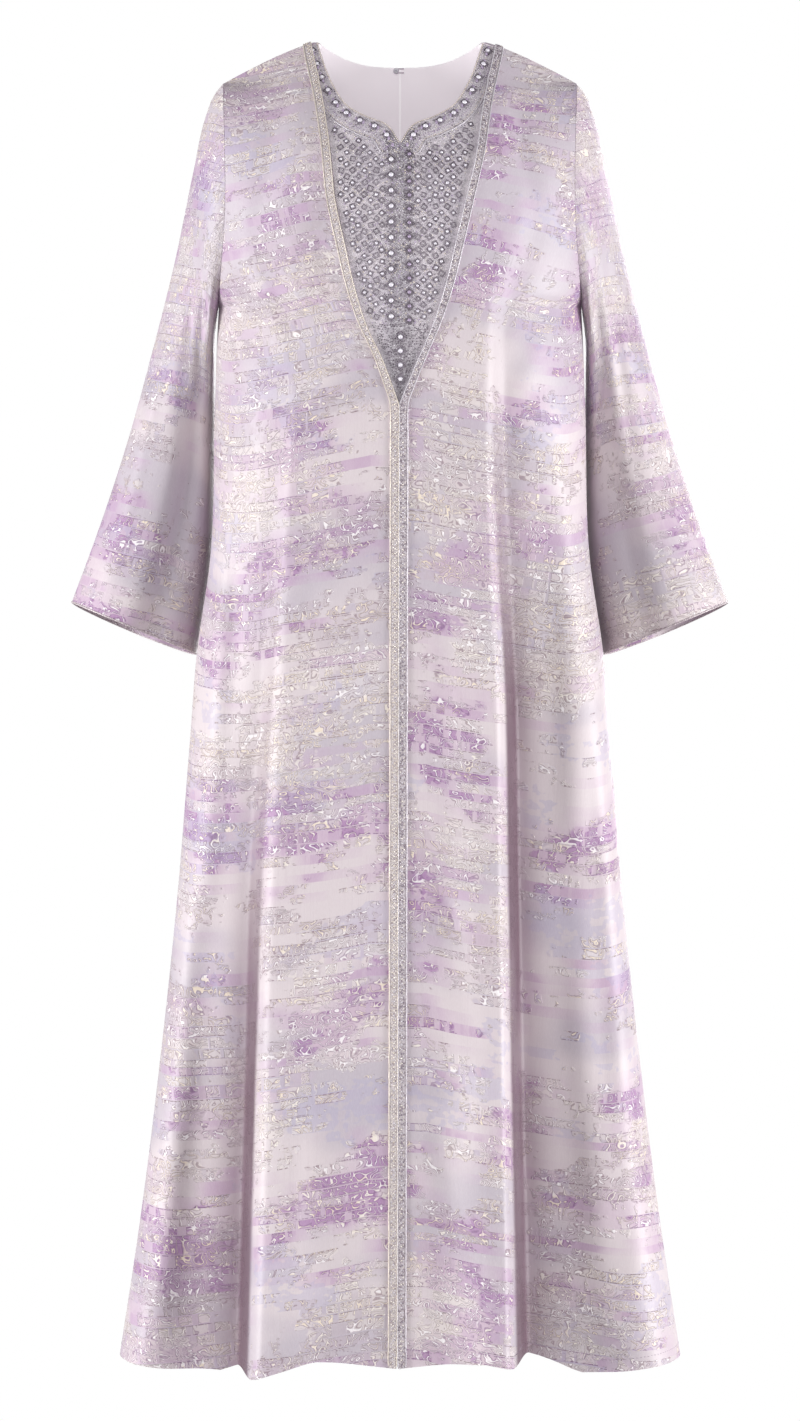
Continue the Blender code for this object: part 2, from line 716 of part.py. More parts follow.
def build_button():
    """A faceted stone on a short shank, turned from its profile."""
    profile = (
        (0.0, 0.0),
        (SHANK_RADIUS, 0.0),
        (SHANK_RADIUS, SHANK_HEIGHT),
        (STONE_RADIUS, SHANK_HEIGHT + GIRDLE_SHARE * STONE_HEIGHT),
        (TABLE_RADIUS, SHANK_HEIGHT + STONE_HEIGHT),
        (0.0, SHANK_HEIGHT + STONE_HEIGHT),
    )
    work = bmesh.new()
    corners = [work.verts.new((radius, 0.0, height)) for radius, height in profile]
    edges = [work.edges.new(pair) for pair in zip(corners, corners[1:])]
    bmesh.ops.spin(
        work,
        geom=corners + edges,
        cent=(0.0, 0.0, 0.0),
        axis=(0.0, 0.0, 1.0),
        angle=2 * math.pi,
        steps=8,
        use_merge=True,
    )
    bmesh.ops.remove_doubles(work, verts=work.verts, dist=1e-6)
    mesh = bpy.data.meshes.new("neck_button")
    work.to_mesh(mesh)
    work.free()
    made = add_object("neck_button", mesh, "crystal")
    made.matrix_world = lining_frame(BUTTON_ACROSS, BUTTON_DROP)


def build_loop():
    """A thread from the other side of the slit, round the button's shank and back."""
    bend = SHANK_RADIUS + SEAM_GAP + LOOP_RADIUS
    reach = LOOP_END_ACROSS - BUTTON_ACROSS
    height = LOOP_RADIUS
    route = [(reach, bend)]
    route += [
        (bend * math.sin(angle), bend * math.cos(angle))
        for angle in -np.linspace(0.0, math.pi, 7)
    ]
    route += [(reach, -bend)]
    curve = bpy.data.curves.new("neck_loop", "CURVE")
    curve.dimensions = "3D"
    curve.bevel_depth = LOOP_RADIUS
    curve.bevel_resolution = 1
    curve.use_fill_caps = True
    spline = curve.splines.new("POLY")
    spline.points.add(len(route) - 1)
    for point, (across, up) in zip(spline.points, route):
        point.co = (across, up, height, 1.0)
    curve.materials.append(material("loop_thread"))
    made = bpy.data.objects.new("neck_loop", curve)
    made.matrix_world = lining_frame(BUTTON_ACROSS, BUTTON_DROP)
    bpy.context.collection.objects.link(made)


def build_kaftan():
    clear_scene()
    panels, directions, sleeves, sleeve_directions = build_shapes()
    build_panels(panels, directions)
    build_sleeves(sleeves, sleeve_directions)
    build_linings(panels, directions)
    build_braids(panels, directions)
    build_yoke(panels, directions)
    build_button()
    build_loop()


build_kaftan()
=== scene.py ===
"""Looks of a full-length brocade kaftan, hollow as if worn, in metres with +Z up and -Y its front.

A drop is a distance below the high shoulder points. +X is the wearer's left.
"""

from collections import namedtuple
import itertools
import math
import random

import bpy
import numpy as np
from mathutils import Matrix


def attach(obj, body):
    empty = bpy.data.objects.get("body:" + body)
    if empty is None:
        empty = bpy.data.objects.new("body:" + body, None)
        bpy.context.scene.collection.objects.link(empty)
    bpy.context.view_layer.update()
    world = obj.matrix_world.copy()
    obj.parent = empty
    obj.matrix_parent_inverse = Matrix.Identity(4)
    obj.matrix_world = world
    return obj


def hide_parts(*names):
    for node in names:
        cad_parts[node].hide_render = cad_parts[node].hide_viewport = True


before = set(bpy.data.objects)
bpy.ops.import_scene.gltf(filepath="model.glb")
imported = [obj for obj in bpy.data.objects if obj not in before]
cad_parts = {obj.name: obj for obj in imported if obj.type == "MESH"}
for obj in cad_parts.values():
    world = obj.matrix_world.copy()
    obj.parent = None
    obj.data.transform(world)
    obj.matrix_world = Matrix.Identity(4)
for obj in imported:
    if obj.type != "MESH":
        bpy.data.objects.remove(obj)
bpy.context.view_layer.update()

# The cut, with the sizes of the solids
NECK_HALF = 0.0903
BACK_NECK_DROP = 0.0212
BACK_NECK_DEPTH = 0.066
SHOULDER_DROP = 0.046
UNDERARM_DROP = 0.290
ARMHOLE_HALF_DEPTH = 0.055
V_POINT_DROP = 0.4043
HEM_DROP = 1.436
HEM_TURNING = 0.012
CLOTH = 0.0015
LINING_OFFSET = 0.0018
SEAM_GAP = 0.0003
BRAID_WIDTH = 0.008
YOKE_UNDERLAP = 0.030
HEM_SLIT_START = 1.412
HEM_SLIT_GAP = 0.0017
NECK_SLIT_TAPER, NECK_SLIT_END = 0.075, 0.125
CENTRE_LEAN = 0.003
SHOULDER_CURVE = 1.25
NECK_CURVE = 3.0
ROUNDING = {-1: 0.16, 1: 0.17}
ROUNDING_POWER = 0.85
WIDTH_POWER = 2.4
SHOULDER_EDGE_POWER = 1.1
SIDE_EDGE_POWER = 2.2
EDGE_TURN_START, EDGE_TURN_END = 0.20, 0.42
MOST_MITRE = 1.5

# The neck slit, which hangs closed
NECK_SLIT_GAP = 0.0001

# Cloth as it is seen: thin shells on the solids' outer faces
SHELL = 0.0008
ROW_STEP = 0.0085
COLUMN_SPLITS = 4
SMOOTHING_PASSES, EASING = 3, 0.6
SHARP_ANGLE = math.radians(60)
MAP_FLARE = (0.35, 1.0)

FRONT, BACK = -1, 1
LEFT, RIGHT = 1, -1
SIDE_NAMES = {LEFT: "left", RIGHT: "right"}
FACE_NAMES = {FRONT: "front", BACK: "back"}

Section = namedtuple("Section", "drop half_width front back")
SECTIONS = [
    Section(0.000, 0.1930, 0.085, 0.075),
    Section(0.050, 0.1930, 0.095, 0.085),
    Section(0.100, 0.1910, 0.108, 0.100),
    Section(0.200, 0.1905, 0.122, 0.112),
    Section(0.290, 0.1983, 0.127, 0.112),
    Section(0.400, 0.2028, 0.124, 0.108),
    Section(0.568, 0.2080, 0.120, 0.108),
    Section(0.667, 0.2222, 0.122, 0.112),
    Section(0.765, 0.2300, 0.126, 0.120),
    Section(0.940, 0.2442, 0.136, 0.138),
    Section(1.116, 0.2628, 0.148, 0.158),
    Section(1.291, 0.2847, 0.160, 0.178),
    Section(1.436, 0.3066, 0.172, 0.195),
]
VEdge = namedtuple("VEdge", "drop left right")
V_EDGE = [
    VEdge(0.000, 0.1050, 0.0975),
    VEdge(0.086, 0.0885, 0.0810),
    VEdge(0.128, 0.0830, 0.0750),
    VEdge(0.185, 0.0705, 0.0690),
    VEdge(0.235, 0.0590, 0.0580),
    VEdge(0.275, 0.0495, 0.0490),
    VEdge(0.325, 0.0335, 0.0330),
    VEdge(0.355, 0.0205, 0.0185),
    VEdge(0.390, 0.0060, 0.0055),
    VEdge(0.4043, 0.0002, 0.0002),
]
Neckline = namedtuple("Neckline", "place across drop")
NECKLINE = [
    Neckline(0.00, 0.0900, 0.000),
    Neckline(0.12, 0.0860, 0.014),
    Neckline(0.35, 0.0740, 0.048),
    Neckline(0.52, 0.0590, 0.074),
    Neckline(0.70, 0.0370, 0.089),
    Neckline(0.86, 0.0130, 0.100),
    Neckline(1.00, 0.0000, 0.120),
]
Fold = namedtuple("Fold", "drop edge floor out inward")
FOLDS = {
    (FRONT, LEFT): [
        Fold(0.00, 0.150, 0.168, 0.000, 0.000),
        Fold(0.20, 0.118, 0.136, 0.000, 0.000),
        Fold(0.31, 0.099, 0.119, 0.001, 0.003),
        Fold(0.45, 0.096, 0.115, 0.005, 0.012),
        Fold(0.60, 0.102, 0.120, 0.010, 0.028),
        Fold(0.72, 0.109, 0.126, 0.015, 0.042),
        Fold(0.90, 0.112, 0.129, 0.020, 0.052),
        Fold(1.10, 0.115, 0.132, 0.026, 0.062),
        Fold(1.436, 0.121, 0.139, 0.032, 0.078),
    ],
    (FRONT, RIGHT): [
        Fold(0.00, 0.150, 0.168, 0.000, 0.000),
        Fold(0.20, 0.122, 0.142, 0.000, 0.000),
        Fold(0.40, 0.116, 0.138, 0.000, 0.001),
        Fold(0.60, 0.124, 0.146, 0.002, 0.005),
        Fold(0.75, 0.134, 0.155, 0.006, 0.012),
        Fold(0.90, 0.143, 0.163, 0.012, 0.026),
        Fold(1.10, 0.150, 0.168, 0.020, 0.046),
        Fold(1.436, 0.159, 0.176, 0.032, 0.070),
    ],
    (BACK, LEFT): [
        Fold(0.00, 0.130, 0.148, 0.000, 0.000),
        Fold(0.20, 0.120, 0.140, 0.000, 0.000),
        Fold(0.45, 0.113, 0.136, 0.002, 0.006),
        Fold(0.70, 0.118, 0.140, 0.007, 0.018),
        Fold(1.00, 0.128, 0.149, 0.016, 0.036),
        Fold(1.436, 0.142, 0.163, 0.028, 0.060),
    ],
    (BACK, RIGHT): [
        Fold(0.00, 0.130, 0.148, 0.000, 0.000),
        Fold(0.20, 0.122, 0.142, 0.000, 0.000),
        Fold(0.45, 0.117, 0.140, 0.001, 0.004),
        Fold(0.70, 0.120, 0.143, 0.005, 0.014),
        Fold(1.00, 0.126, 0.149, 0.014, 0.032),
        Fold(1.436, 0.136, 0.160, 0.030, 0.055),
    ],
}
Dip = namedtuple("Dip", "place dip")
HEM_DIPS = [
    Dip(0.00, -0.003),
    Dip(0.20, 0.000),
    Dip(0.42, 0.005),
    Dip(0.52, 0.003),
    Dip(0.62, -0.007),
    Dip(0.78, 0.001),
    Dip(1.00, 0.000),
]
HEM_DIP_START = 1.20

BRAID_PLACE, YOKE_PLACE = 0.03, 0.10
FOLD_RISE, FOLD_EDGE, FOLD_FLOOR, FOLD_END = 0.15, 0.50, 0.62, 0.90
# The steep flank of each large fold, a little gentler than in the solids
FLANK_START, FLANK_END = 0.47, 0.62
NECK_PLACE = 0.38
FRONT_PLACES = (
    0.0, BRAID_PLACE, YOKE_PLACE, 0.20, 0.30, 0.38, 0.45, FOLD_EDGE,
    0.54, 0.58, FOLD_FLOOR, 0.68, 0.75, 0.82, 0.89, 0.95, 1.0,
)
BACK_PLACES = (
    0.0, 0.06, 0.13, 0.20, 0.27, 0.33, NECK_PLACE, 0.44, FOLD_EDGE,
    0.54, 0.58, FOLD_FLOOR, 0.69, 0.77, 0.85, 0.93, 1.0,
)
ARMHOLE_ROWS = 10
V_ROWS_END = 0.340
BRIDGE_OUTER_DROPS = (0.335, 0.392)
SKIRT_START, SKIRT_END, SKIRT_ROWS = 0.455, 1.365, 12
LINING_ROWS, LINING_COLUMNS = 9, 13

SleeveTop = namedtuple("SleeveTop", "drop across")
SLEEVE_TOP = [
    SleeveTop(0.046, 0.1930),
    SleeveTop(0.058, 0.2030),
    SleeveTop(0.078, 0.2115),
    SleeveTop(0.141, 0.2270),
    SleeveTop(0.240, 0.2485),
    SleeveTop(0.338, 0.2735),
    SleeveTop(0.437, 0.3010),
    SleeveTop(0.535, 0.3333),
    SleeveTop(0.6133, 0.3622),
]
SleeveUnder = namedtuple("SleeveUnder", "drop across")
SLEEVE_UNDER = [
    SleeveUnder(0.290, 0.1983),
    SleeveUnder(0.328, 0.2035),
    SleeveUnder(0.366, 0.2040),
    SleeveUnder(0.461, 0.2030),
    SleeveUnder(0.556, 0.2060),
    SleeveUnder(0.620, 0.2145),
    SleeveUnder(0.670, 0.2246),
]
SleeveRing = namedtuple("SleeveRing", "place centre half_depth trough")
SLEEVE_RINGS = [
    SleeveRing(0.00, 0.000, 0.055, 0.000),
    SleeveRing(0.10, 0.015, 0.055, 0.000),
    SleeveRing(0.20, 0.031, 0.056, 0.003),
    SleeveRing(0.32, 0.042, 0.057, 0.006),
    SleeveRing(0.50, 0.049, 0.058, 0.008),
    SleeveRing(1.00, 0.051, 0.062, 0.009),
]
SLEEVE_STEPS = 60
RING_STEPS = 96
SEAM_PULL_END = 0.15
TROUGH_ANGLES = (0.62 * math.pi, 1.36 * math.pi)
TROUGH_WIDTH = 0.16 * math.pi
CUFF_DIP = 0.005

# Small creases of each half, from one end to the other: how wide and how high each stands
Crease = namedtuple("Crease", "across drop end_across end_drop width height")
CREASES = {
    (FRONT, LEFT): [
        Crease(0.004, 0.485, 0.020, 0.560, 0.006, -0.0022),
        Crease(0.006, 0.700, 0.050, 0.790, 0.008, -0.0030),
        Crease(0.006, 0.745, 0.040, 0.850, 0.007, 0.0028),
        Crease(0.010, 0.860, 0.080, 1.010, 0.010, -0.0034),
        Crease(0.010, 0.930, 0.075, 1.120, 0.010, 0.0030),
        Crease(0.008, 1.090, 0.060, 1.280, 0.011, -0.0030),
        Crease(0.010, 1.240, 0.030, 1.400, 0.008, 0.0026),
        Crease(0.060, 0.560, 0.072, 0.900, 0.009, 0.0022),
        Crease(0.180, 0.500, 0.190, 0.900, 0.012, 0.0045),
        Crease(0.205, 0.760, 0.225, 1.180, 0.012, -0.0050),
        Crease(0.190, 0.980, 0.225, 1.420, 0.014, 0.0060),
        Crease(0.120, 0.060, 0.155, 0.230, 0.012, -0.0030),
        Crease(0.150, 0.200, 0.100, 0.350, 0.012, -0.0034),
        Crease(0.185, 0.270, 0.115, 0.420, 0.011, 0.0030),
    ],
    (FRONT, RIGHT): [
        Crease(0.006, 0.520, 0.040, 0.620, 0.008, -0.0018),
        Crease(0.108, 0.380, 0.125, 0.600, 0.009, 0.0026),
        Crease(0.095, 0.500, 0.100, 0.960, 0.011, -0.0026),
        Crease(0.050, 0.860, 0.062, 1.380, 0.014, 0.0026),
        Crease(0.110, 0.960, 0.120, 1.420, 0.014, 0.0034),
        Crease(0.172, 0.400, 0.182, 0.760, 0.011, -0.0042),
        Crease(0.195, 0.560, 0.212, 0.980, 0.012, 0.0050),
        Crease(0.205, 0.900, 0.240, 1.420, 0.014, -0.0050),
        Crease(0.225, 1.060, 0.262, 1.420, 0.013, 0.0052),
        Crease(0.128, 0.060, 0.160, 0.240, 0.012, -0.0030),
        Crease(0.180, 0.210, 0.118, 0.360, 0.011, 0.0030),
        Crease(0.088, 0.140, 0.078, 0.330, 0.010, -0.0020),
    ],
    (BACK, LEFT): [
        Crease(0.030, 0.300, 0.036, 0.760, 0.014, -0.0034),
        Crease(0.070, 0.560, 0.090, 1.100, 0.015, 0.0042),
        Crease(0.050, 0.900, 0.066, 1.420, 0.016, -0.0046),
        Crease(0.195, 0.620, 0.235, 1.380, 0.014, 0.0050),
        Crease(0.175, 0.150, 0.120, 0.340, 0.012, -0.0034),
        Crease(0.150, 0.060, 0.165, 0.200, 0.012, 0.0026),
        Crease(0.010, 0.040, 0.026, 0.100, 0.006, -0.0024),
        Crease(0.030, 0.030, 0.052, 0.075, 0.008, 0.0018),
    ],
    (BACK, RIGHT): [
        Crease(0.012, 0.045, 0.028, 0.085, 0.006, -0.0020),
        Crease(0.026, 0.420, 0.034, 0.980, 0.014, 0.0036),
        Crease(0.078, 0.480, 0.092, 0.980, 0.014, -0.0040),
        Crease(0.058, 0.980, 0.074, 1.420, 0.016, 0.0048),
        Crease(0.198, 0.560, 0.242, 1.400, 0.014, -0.0048),
        Crease(0.178, 0.160, 0.118, 0.330, 0.012, 0.0034),
        Crease(0.148, 0.070, 0.160, 0.210, 0.012, -0.0026),
    ],
}

# Sleeve creases: places down the sleeve, and half turns from its upper edge over the front
SleeveCrease = namedtuple("SleeveCrease", "place turn end_place end_turn width height")
SLEEVE_CREASES = {
    RIGHT: [
        SleeveCrease(0.16, 0.40, 0.62, 0.52, 0.060, -0.0032),
        SleeveCrease(0.30, 0.24, 0.96, 0.30, 0.055, 0.0028),
        SleeveCrease(0.48, 0.66, 0.98, 0.58, 0.060, -0.0030),
        SleeveCrease(0.08, 0.74, 0.34, 0.60, 0.060, 0.0040),
        SleeveCrease(0.14, 0.86, 0.46, 0.74, 0.050, -0.0036),
        SleeveCrease(0.20, -0.30, 0.96, -0.36, 0.070, 0.0036),
        SleeveCrease(0.12, -0.62, 0.70, -0.52, 0.065, -0.0040),
    ],
    LEFT: [
        SleeveCrease(0.18, 0.36, 0.70, 0.46, 0.060, -0.0034),
        SleeveCrease(0.36, 0.20, 0.96, 0.26, 0.055, 0.0028),
        SleeveCrease(0.44, 0.62, 0.98, 0.66, 0.060, 0.0030),
        SleeveCrease(0.08, 0.76, 0.38, 0.58, 0.060, 0.0040),
        SleeveCrease(0.15, 0.88, 0.52, 0.76, 0.050, -0.0038),
        SleeveCrease(0.22, -0.34, 0.96, -0.30, 0.070, -0.0036),
        SleeveCrease(0.10, -0.64, 0.66, -0.50, 0.065, 0.0040),
    ],
}

# Faint puckers everywhere, and how creases fade out beside the seams
PUCKER = 0.0009
SIDE_FADE, CENTRE_FADE = (0.0, 0.02), (0.004, 0.03)
END_FADE = 0.7

# Shade in the valleys of the folds and along the sleeves' undersides
FULL_SHADE_DEPTH = 0.045
SHADE_START, SHADE_FULL, SHADE_FADE, SHADE_END = 0.510, 0.540, 0.590, 0.700
SLEEVE_SHADE_START, SLEEVE_SHADE_FULL = 0.20, 0.60
SLEEVE_SHADE_WIDTH = 0.20

# How far crosswise threads hang below level at the sides, per metre of squared distance
SKIRT_SAG = 0.18
SLEEVE_SAG = 0.55


def along(table, column, place):
    """A column of a table at this place, on a smooth curve through the rows."""
    knots = np.array([row[0] for row in table])
    values = np.array([getattr(row, column) for row in table])
    slopes = np.gradient(values, knots)
    place = np.clip(place, knots[0], knots[-1])
    start = np.clip(np.searchsorted(knots, place, side="right") - 1, 0, len(knots) - 2)
    step = knots[start + 1] - knots[start]
    t = (place - knots[start]) / step
    rise = values[start + 1] - values[start]
    bend_in = slopes[start] * step - rise
    bend_out = rise - slopes[start + 1] * step
    return values[start] + t * rise + t * (1 - t) * ((1 - t) * bend_in + t * bend_out)


def smooth_step(start, end, place):
    t = np.clip((place - start) / (end - start), 0.0, 1.0)
    return t * t * (3 - 2 * t)


def half_width(drop):
    return along(SECTIONS, "half_width", drop)


def top_drop(face, across):
    """Drop of the panel's top edge: the shoulder seam and, on the back, the neck edge."""
    shoulder_run = half_width(SHOULDER_DROP) - NECK_HALF
    reach = np.clip((across - NECK_HALF) / shoulder_run, 0.0, 1.0)
    seam = SHOULDER_DROP * reach**SHOULDER_CURVE
    if face == FRONT:
        return seam
    inside = np.clip(across / NECK_HALF, 0.0, 1.0)
    return seam + BACK_NECK_DROP * (1 - inside**NECK_CURVE)


def neck_depth(face, across):
    """How far the top edge lies behind the shoulder line."""
    if face == FRONT:
        return np.zeros_like(across)
    inside = np.clip(across / NECK_HALF, 0.0, 1.0)
    return BACK_NECK_DEPTH * (1 - inside**WIDTH_POWER) ** (1 / SHOULDER_EDGE_POWER)


def armhole_drops(steps):
    """Drops of points spread evenly round the armhole's arc, from 0 at its top to 1 at the underarm."""
    middle = (SHOULDER_DROP + UNDERARM_DROP) / 2
    return middle - (UNDERARM_DROP - middle) * np.cos(math.pi * steps)


def armhole_depth(drop):
    middle = (SHOULDER_DROP + UNDERARM_DROP) / 2
    reach = np.clip((drop - middle) / (UNDERARM_DROP - middle), -1.0, 1.0)
    return ARMHOLE_HALF_DEPTH * np.sqrt(1 - reach**2)


def body_depth(face, across, drop):
    """Distance of the plain body surface from the shoulder plane."""
    column = "front" if face == FRONT else "back"
    below_edge = np.maximum(drop - top_drop(face, across), 0.0)
    closing = 1 - (1 - np.minimum(1.0, below_edge / ROUNDING[face])) ** 2
    closing = closing**ROUNDING_POWER
    edge = neck_depth(face, across)
    middle = edge + (along(SECTIONS, column, drop) - edge) * closing
    side = armhole_depth(drop)
    turned = smooth_step(EDGE_TURN_START, EDGE_TURN_END, drop)
    edge_power = SHOULDER_EDGE_POWER + (SIDE_EDGE_POWER - SHOULDER_EDGE_POWER) * turned
    reach = np.clip(across / half_width(drop), 0.0, 1.0)
    return side + (middle - side) * (1 - reach**WIDTH_POWER) ** (1 / edge_power)


def inner_edge(face, side, drop):
    """Distance across to the panel's inner edge: V edge, centre front or centre back."""
    if face == BACK:
        opening = NECK_SLIT_GAP * (1 - smooth_step(NECK_SLIT_TAPER, NECK_SLIT_END, drop))
        return (SEAM_GAP + opening) / 2
    opening = (HEM_SLIT_GAP - SEAM_GAP) * smooth_step(HEM_SLIT_START, HEM_DROP, drop)
    centre = -side * CENTRE_LEAN * drop / HEM_DROP
    v_edge = np.where(drop < V_POINT_DROP, along(V_EDGE, SIDE_NAMES[side], drop), 0.0)
    return centre + v_edge + (SEAM_GAP + opening) / 2


def row_drops(face, side):
    """(inner, outer): the drops of each main row at the panel's inner edge and at its outer edge."""
    steps = np.arange(ARMHOLE_ROWS + 1) / ARMHOLE_ROWS
    top = top_drop(face, inner_edge(face, side, np.array(0.0)))
    inner = top + (V_ROWS_END - top) * steps
    bridge_inner = np.array([(V_ROWS_END + V_POINT_DROP) / 2, V_POINT_DROP])
    skirt = np.linspace(SKIRT_START, SKIRT_END, SKIRT_ROWS)
    hem = np.array([HEM_DROP - HEM_TURNING, HEM_DROP])
    return (
        np.concatenate([inner, bridge_inner, skirt, hem]),
        np.concatenate([armhole_drops(steps), BRIDGE_OUTER_DROPS, skirt, hem]),
    )


def fine_rows(face, side):
    """The main rows with even rows between them, and the index of each main row."""
    inner, outer = row_drops(face, side)
    marks, row_index = [0.0], [0]
    for row in range(len(inner) - 1):
        gap = max(inner[row + 1] - inner[row], outer[row + 1] - outer[row])
        splits = max(2, round(gap / ROW_STEP))
        marks += list(row + np.arange(1, splits + 1) / splits)
        row_index.append(len(marks) - 1)
    marks = np.array(marks)
    rows = np.arange(len(inner))
    armhole = armhole_drops(np.minimum(marks / ARMHOLE_ROWS, 1.0))
    fine_outer = np.where(marks <= ARMHOLE_ROWS, armhole, np.interp(marks, rows, outer))
    return np.interp(marks, rows, inner), fine_outer, row_index


def across_of(face, side, places, inner_drop, outer_drop):
    """Distance across of each place in one row, following the fold's edge and floor."""
    fold_drop = (inner_drop + outer_drop) / 2
    fold = FOLDS[face, side]
    fold_edge = along(fold, "edge", fold_drop)
    fold_floor = along(fold, "floor", fold_drop)
    inside = inner_edge(face, side, inner_drop)
    outside = half_width(outer_drop)
    if face == FRONT:
        marks = (0.0, BRAID_PLACE, YOKE_PLACE, FOLD_EDGE)
        acrosses = (inside, inside + BRAID_WIDTH, inside + YOKE_UNDERLAP, fold_edge)
    else:
        marks = (0.0, NECK_PLACE, FOLD_EDGE)
        acrosses = (inside, NECK_HALF * fold_edge / fold[0].edge, fold_edge)
    inner_part = np.interp(places, marks, acrosses)
    flank = fold_edge + (fold_floor - fold_edge) * (places - FOLD_EDGE) / (FOLD_FLOOR - FOLD_EDGE)
    start_angle = np.arcsin(np.clip(fold_floor / outside, 0.0, 1.0))
    turn = (places - FOLD_FLOOR) / (1 - FOLD_FLOOR)
    outer_part = outside * np.sin(start_angle + (math.pi / 2 - start_angle) * turn)
    return np.where(
        places <= FOLD_EDGE, inner_part, np.where(places <= FOLD_FLOOR, flank, outer_part)
    )


def fold_push(face, side, places, drop):
    """How far the fold moves the cloth out of the plain body surface."""
    fold = FOLDS[face, side]
    flank = smooth_step(FLANK_START, FLANK_END, places)
    crest = smooth_step(FOLD_RISE, FLANK_START, places) * (1 - flank)
    valley = flank * (1 - smooth_step(FLANK_END, FOLD_END, places))
    return along(fold, "out", drop) * crest - along(fold, "inward", drop) * valley


def fold_shade(face, side, places, drop):
    """How much the fold shades the cloth in its valley, from 0 to 1."""
    depth = np.clip(along(FOLDS[face, side], "inward", drop) / FULL_SHADE_DEPTH, 0.0, 1.0)
    flank = smooth_step(SHADE_START, SHADE_FULL, places)
    return depth * flank * (1 - smooth_step(SHADE_FADE, SHADE_END, places))


def crease_shape(x, y, start, end, width):
    """A soft ridge of height 1 along a line, fading at its ends."""
    run = np.array(end) - np.array(start)
    length = np.linalg.norm(run)
    t = ((x - start[0]) * run[0] + (y - start[1]) * run[1]) / length**2
    off = np.abs((x - start[0]) * run[1] - (y - start[1]) * run[0]) / length
    fade = np.sin(math.pi * np.clip(t, 0.0, 1.0)) ** END_FADE
    return np.exp(-((off / width) ** 2)) * fade


def crease_push(face, side, across, drop):
    """The small creases of one panel, fading out at its seams."""
    total = PUCKER * np.sin(across * 61 + side * drop * 7 + face) * np.sin(drop * 17 + across * 23)
    for crease in CREASES[face, side]:
        start = (crease.across, crease.drop)
        end = (crease.end_across, crease.end_drop)
        total += crease.height * crease_shape(across, drop, start, end, crease.width)
    beside = half_width(drop) - across
    return total * smooth_step(*SIDE_FADE, beside) * smooth_step(*CENTRE_FADE, across)


def smoothed(grid, passes):
    """The grid with its inner points eased towards their neighbours, its borders kept."""
    grid = grid.copy()
    for _ in range(passes):
        mean = (grid[2:, 1:-1] + grid[:-2, 1:-1] + grid[1:-1, 2:] + grid[1:-1, :-2]) / 4
        grid[1:-1, 1:-1] += EASING * (mean - grid[1:-1, 1:-1])
    return grid


def panel_grid(face, side):
    """Outer points of a front or back half, the index of its main rows, and its columns' places."""
    main_places = np.array(FRONT_PLACES if face == FRONT else BACK_PLACES)
    count = (len(main_places) - 1) * COLUMN_SPLITS + 1
    places = np.interp(np.arange(count) / COLUMN_SPLITS, np.arange(len(main_places)), main_places)
    inner_drops, outer_drops, row_index = fine_rows(face, side)
    grid, shades = [], []
    for inner_drop, outer_drop in zip(inner_drops, outer_drops):
        across = across_of(face, side, places, inner_drop, outer_drop)
        reach = (across - across[0]) / (across[-1] - across[0])
        inner_fall = inner_drop - top_drop(face, across[0])
        outer_fall = outer_drop - top_drop(face, across[-1])
        drop = top_drop(face, across) + inner_fall + (outer_fall - inner_fall) * reach
        depth = body_depth(face, across, drop) + fold_push(face, side, places, drop)
        depth = depth + crease_push(face, side, across, drop)
        if face == FRONT:
            late = smooth_step(HEM_DIP_START, HEM_DROP, drop)
            drop = drop + along(HEM_DIPS, "dip", places) * late
        grid.append(np.stack([side * across, face * depth, -drop], axis=1))
        shades.append(fold_shade(face, side, places, drop))
    return smoothed(np.array(grid), SMOOTHING_PASSES), row_index, np.array(shades)


def sleeve_path(table, place):
    """Points down a sleeve's upper or under edge, by its share of the drop."""
    drop = table[0].drop + (table[-1].drop - table[0].drop) * place
    return np.array([along(table, "across", drop), 0.0, -drop])


def sleeve_ring(side, place):
    """One ring of a sleeve, as on the wearer's left: from its upper edge over the front and back."""
    turns = 2 * np.arange(RING_STEPS) / RING_STEPS
    angles = math.pi * turns
    upper = sleeve_path(SLEEVE_TOP, place)
    under = sleeve_path(SLEEVE_UNDER, place)
    half_chord = (upper - under) / 2
    centre = (upper + under) / 2 + np.array([0.0, along(SLEEVE_RINGS, "centre", place), 0.0])
    depth = along(SLEEVE_RINGS, "half_depth", place)
    shrink = np.ones_like(angles)
    for trough_angle in TROUGH_ANGLES:
        near = np.clip(1 - np.abs(angles - trough_angle) / TROUGH_WIDTH, 0.0, 1.0)
        shrink -= along(SLEEVE_RINGS, "trough", place) / depth * near**2 * (3 - 2 * near)
    signed = np.where(turns > 1, turns - 2, turns)
    for crease in SLEEVE_CREASES[side]:
        start = (crease.place, crease.turn)
        end = (crease.end_place, crease.end_turn)
        shape = crease_shape(np.full_like(signed, place), signed, start, end, crease.width)
        shrink += crease.height / depth * shape
    ring = centre + np.outer(np.cos(angles) * shrink, half_chord)
    ring[:, 1] -= np.sin(angles) * shrink * depth
    length = np.linalg.norm(half_chord)
    down = np.array([half_chord[2], 0.0, -half_chord[0]]) / length
    ring += np.outer(CUFF_DIP * place * np.maximum(0.0, -np.sin(angles)), down)
    pull = max(0.0, 1 - place / SEAM_PULL_END)
    seam_upper = sleeve_path(SLEEVE_TOP, 0.0)
    seam_under = sleeve_path(SLEEVE_UNDER, 0.0)
    seam_drop = -(seam_upper + seam_under)[2] / 2 + np.cos(angles) * (seam_under - seam_upper)[2] / 2
    seam_x = (seam_upper + seam_under)[0] / 2 + np.cos(angles) * (seam_upper - seam_under)[0] / 2
    ring[:, 0] += pull * (half_width(seam_drop) - seam_x) + SEAM_GAP
    return ring


def sleeve_grid(side):
    grid = np.array([sleeve_ring(side, place) for place in np.linspace(0.0, 1.0, SLEEVE_STEPS + 1)])
    grid[:, :, 0] *= side
    return grid


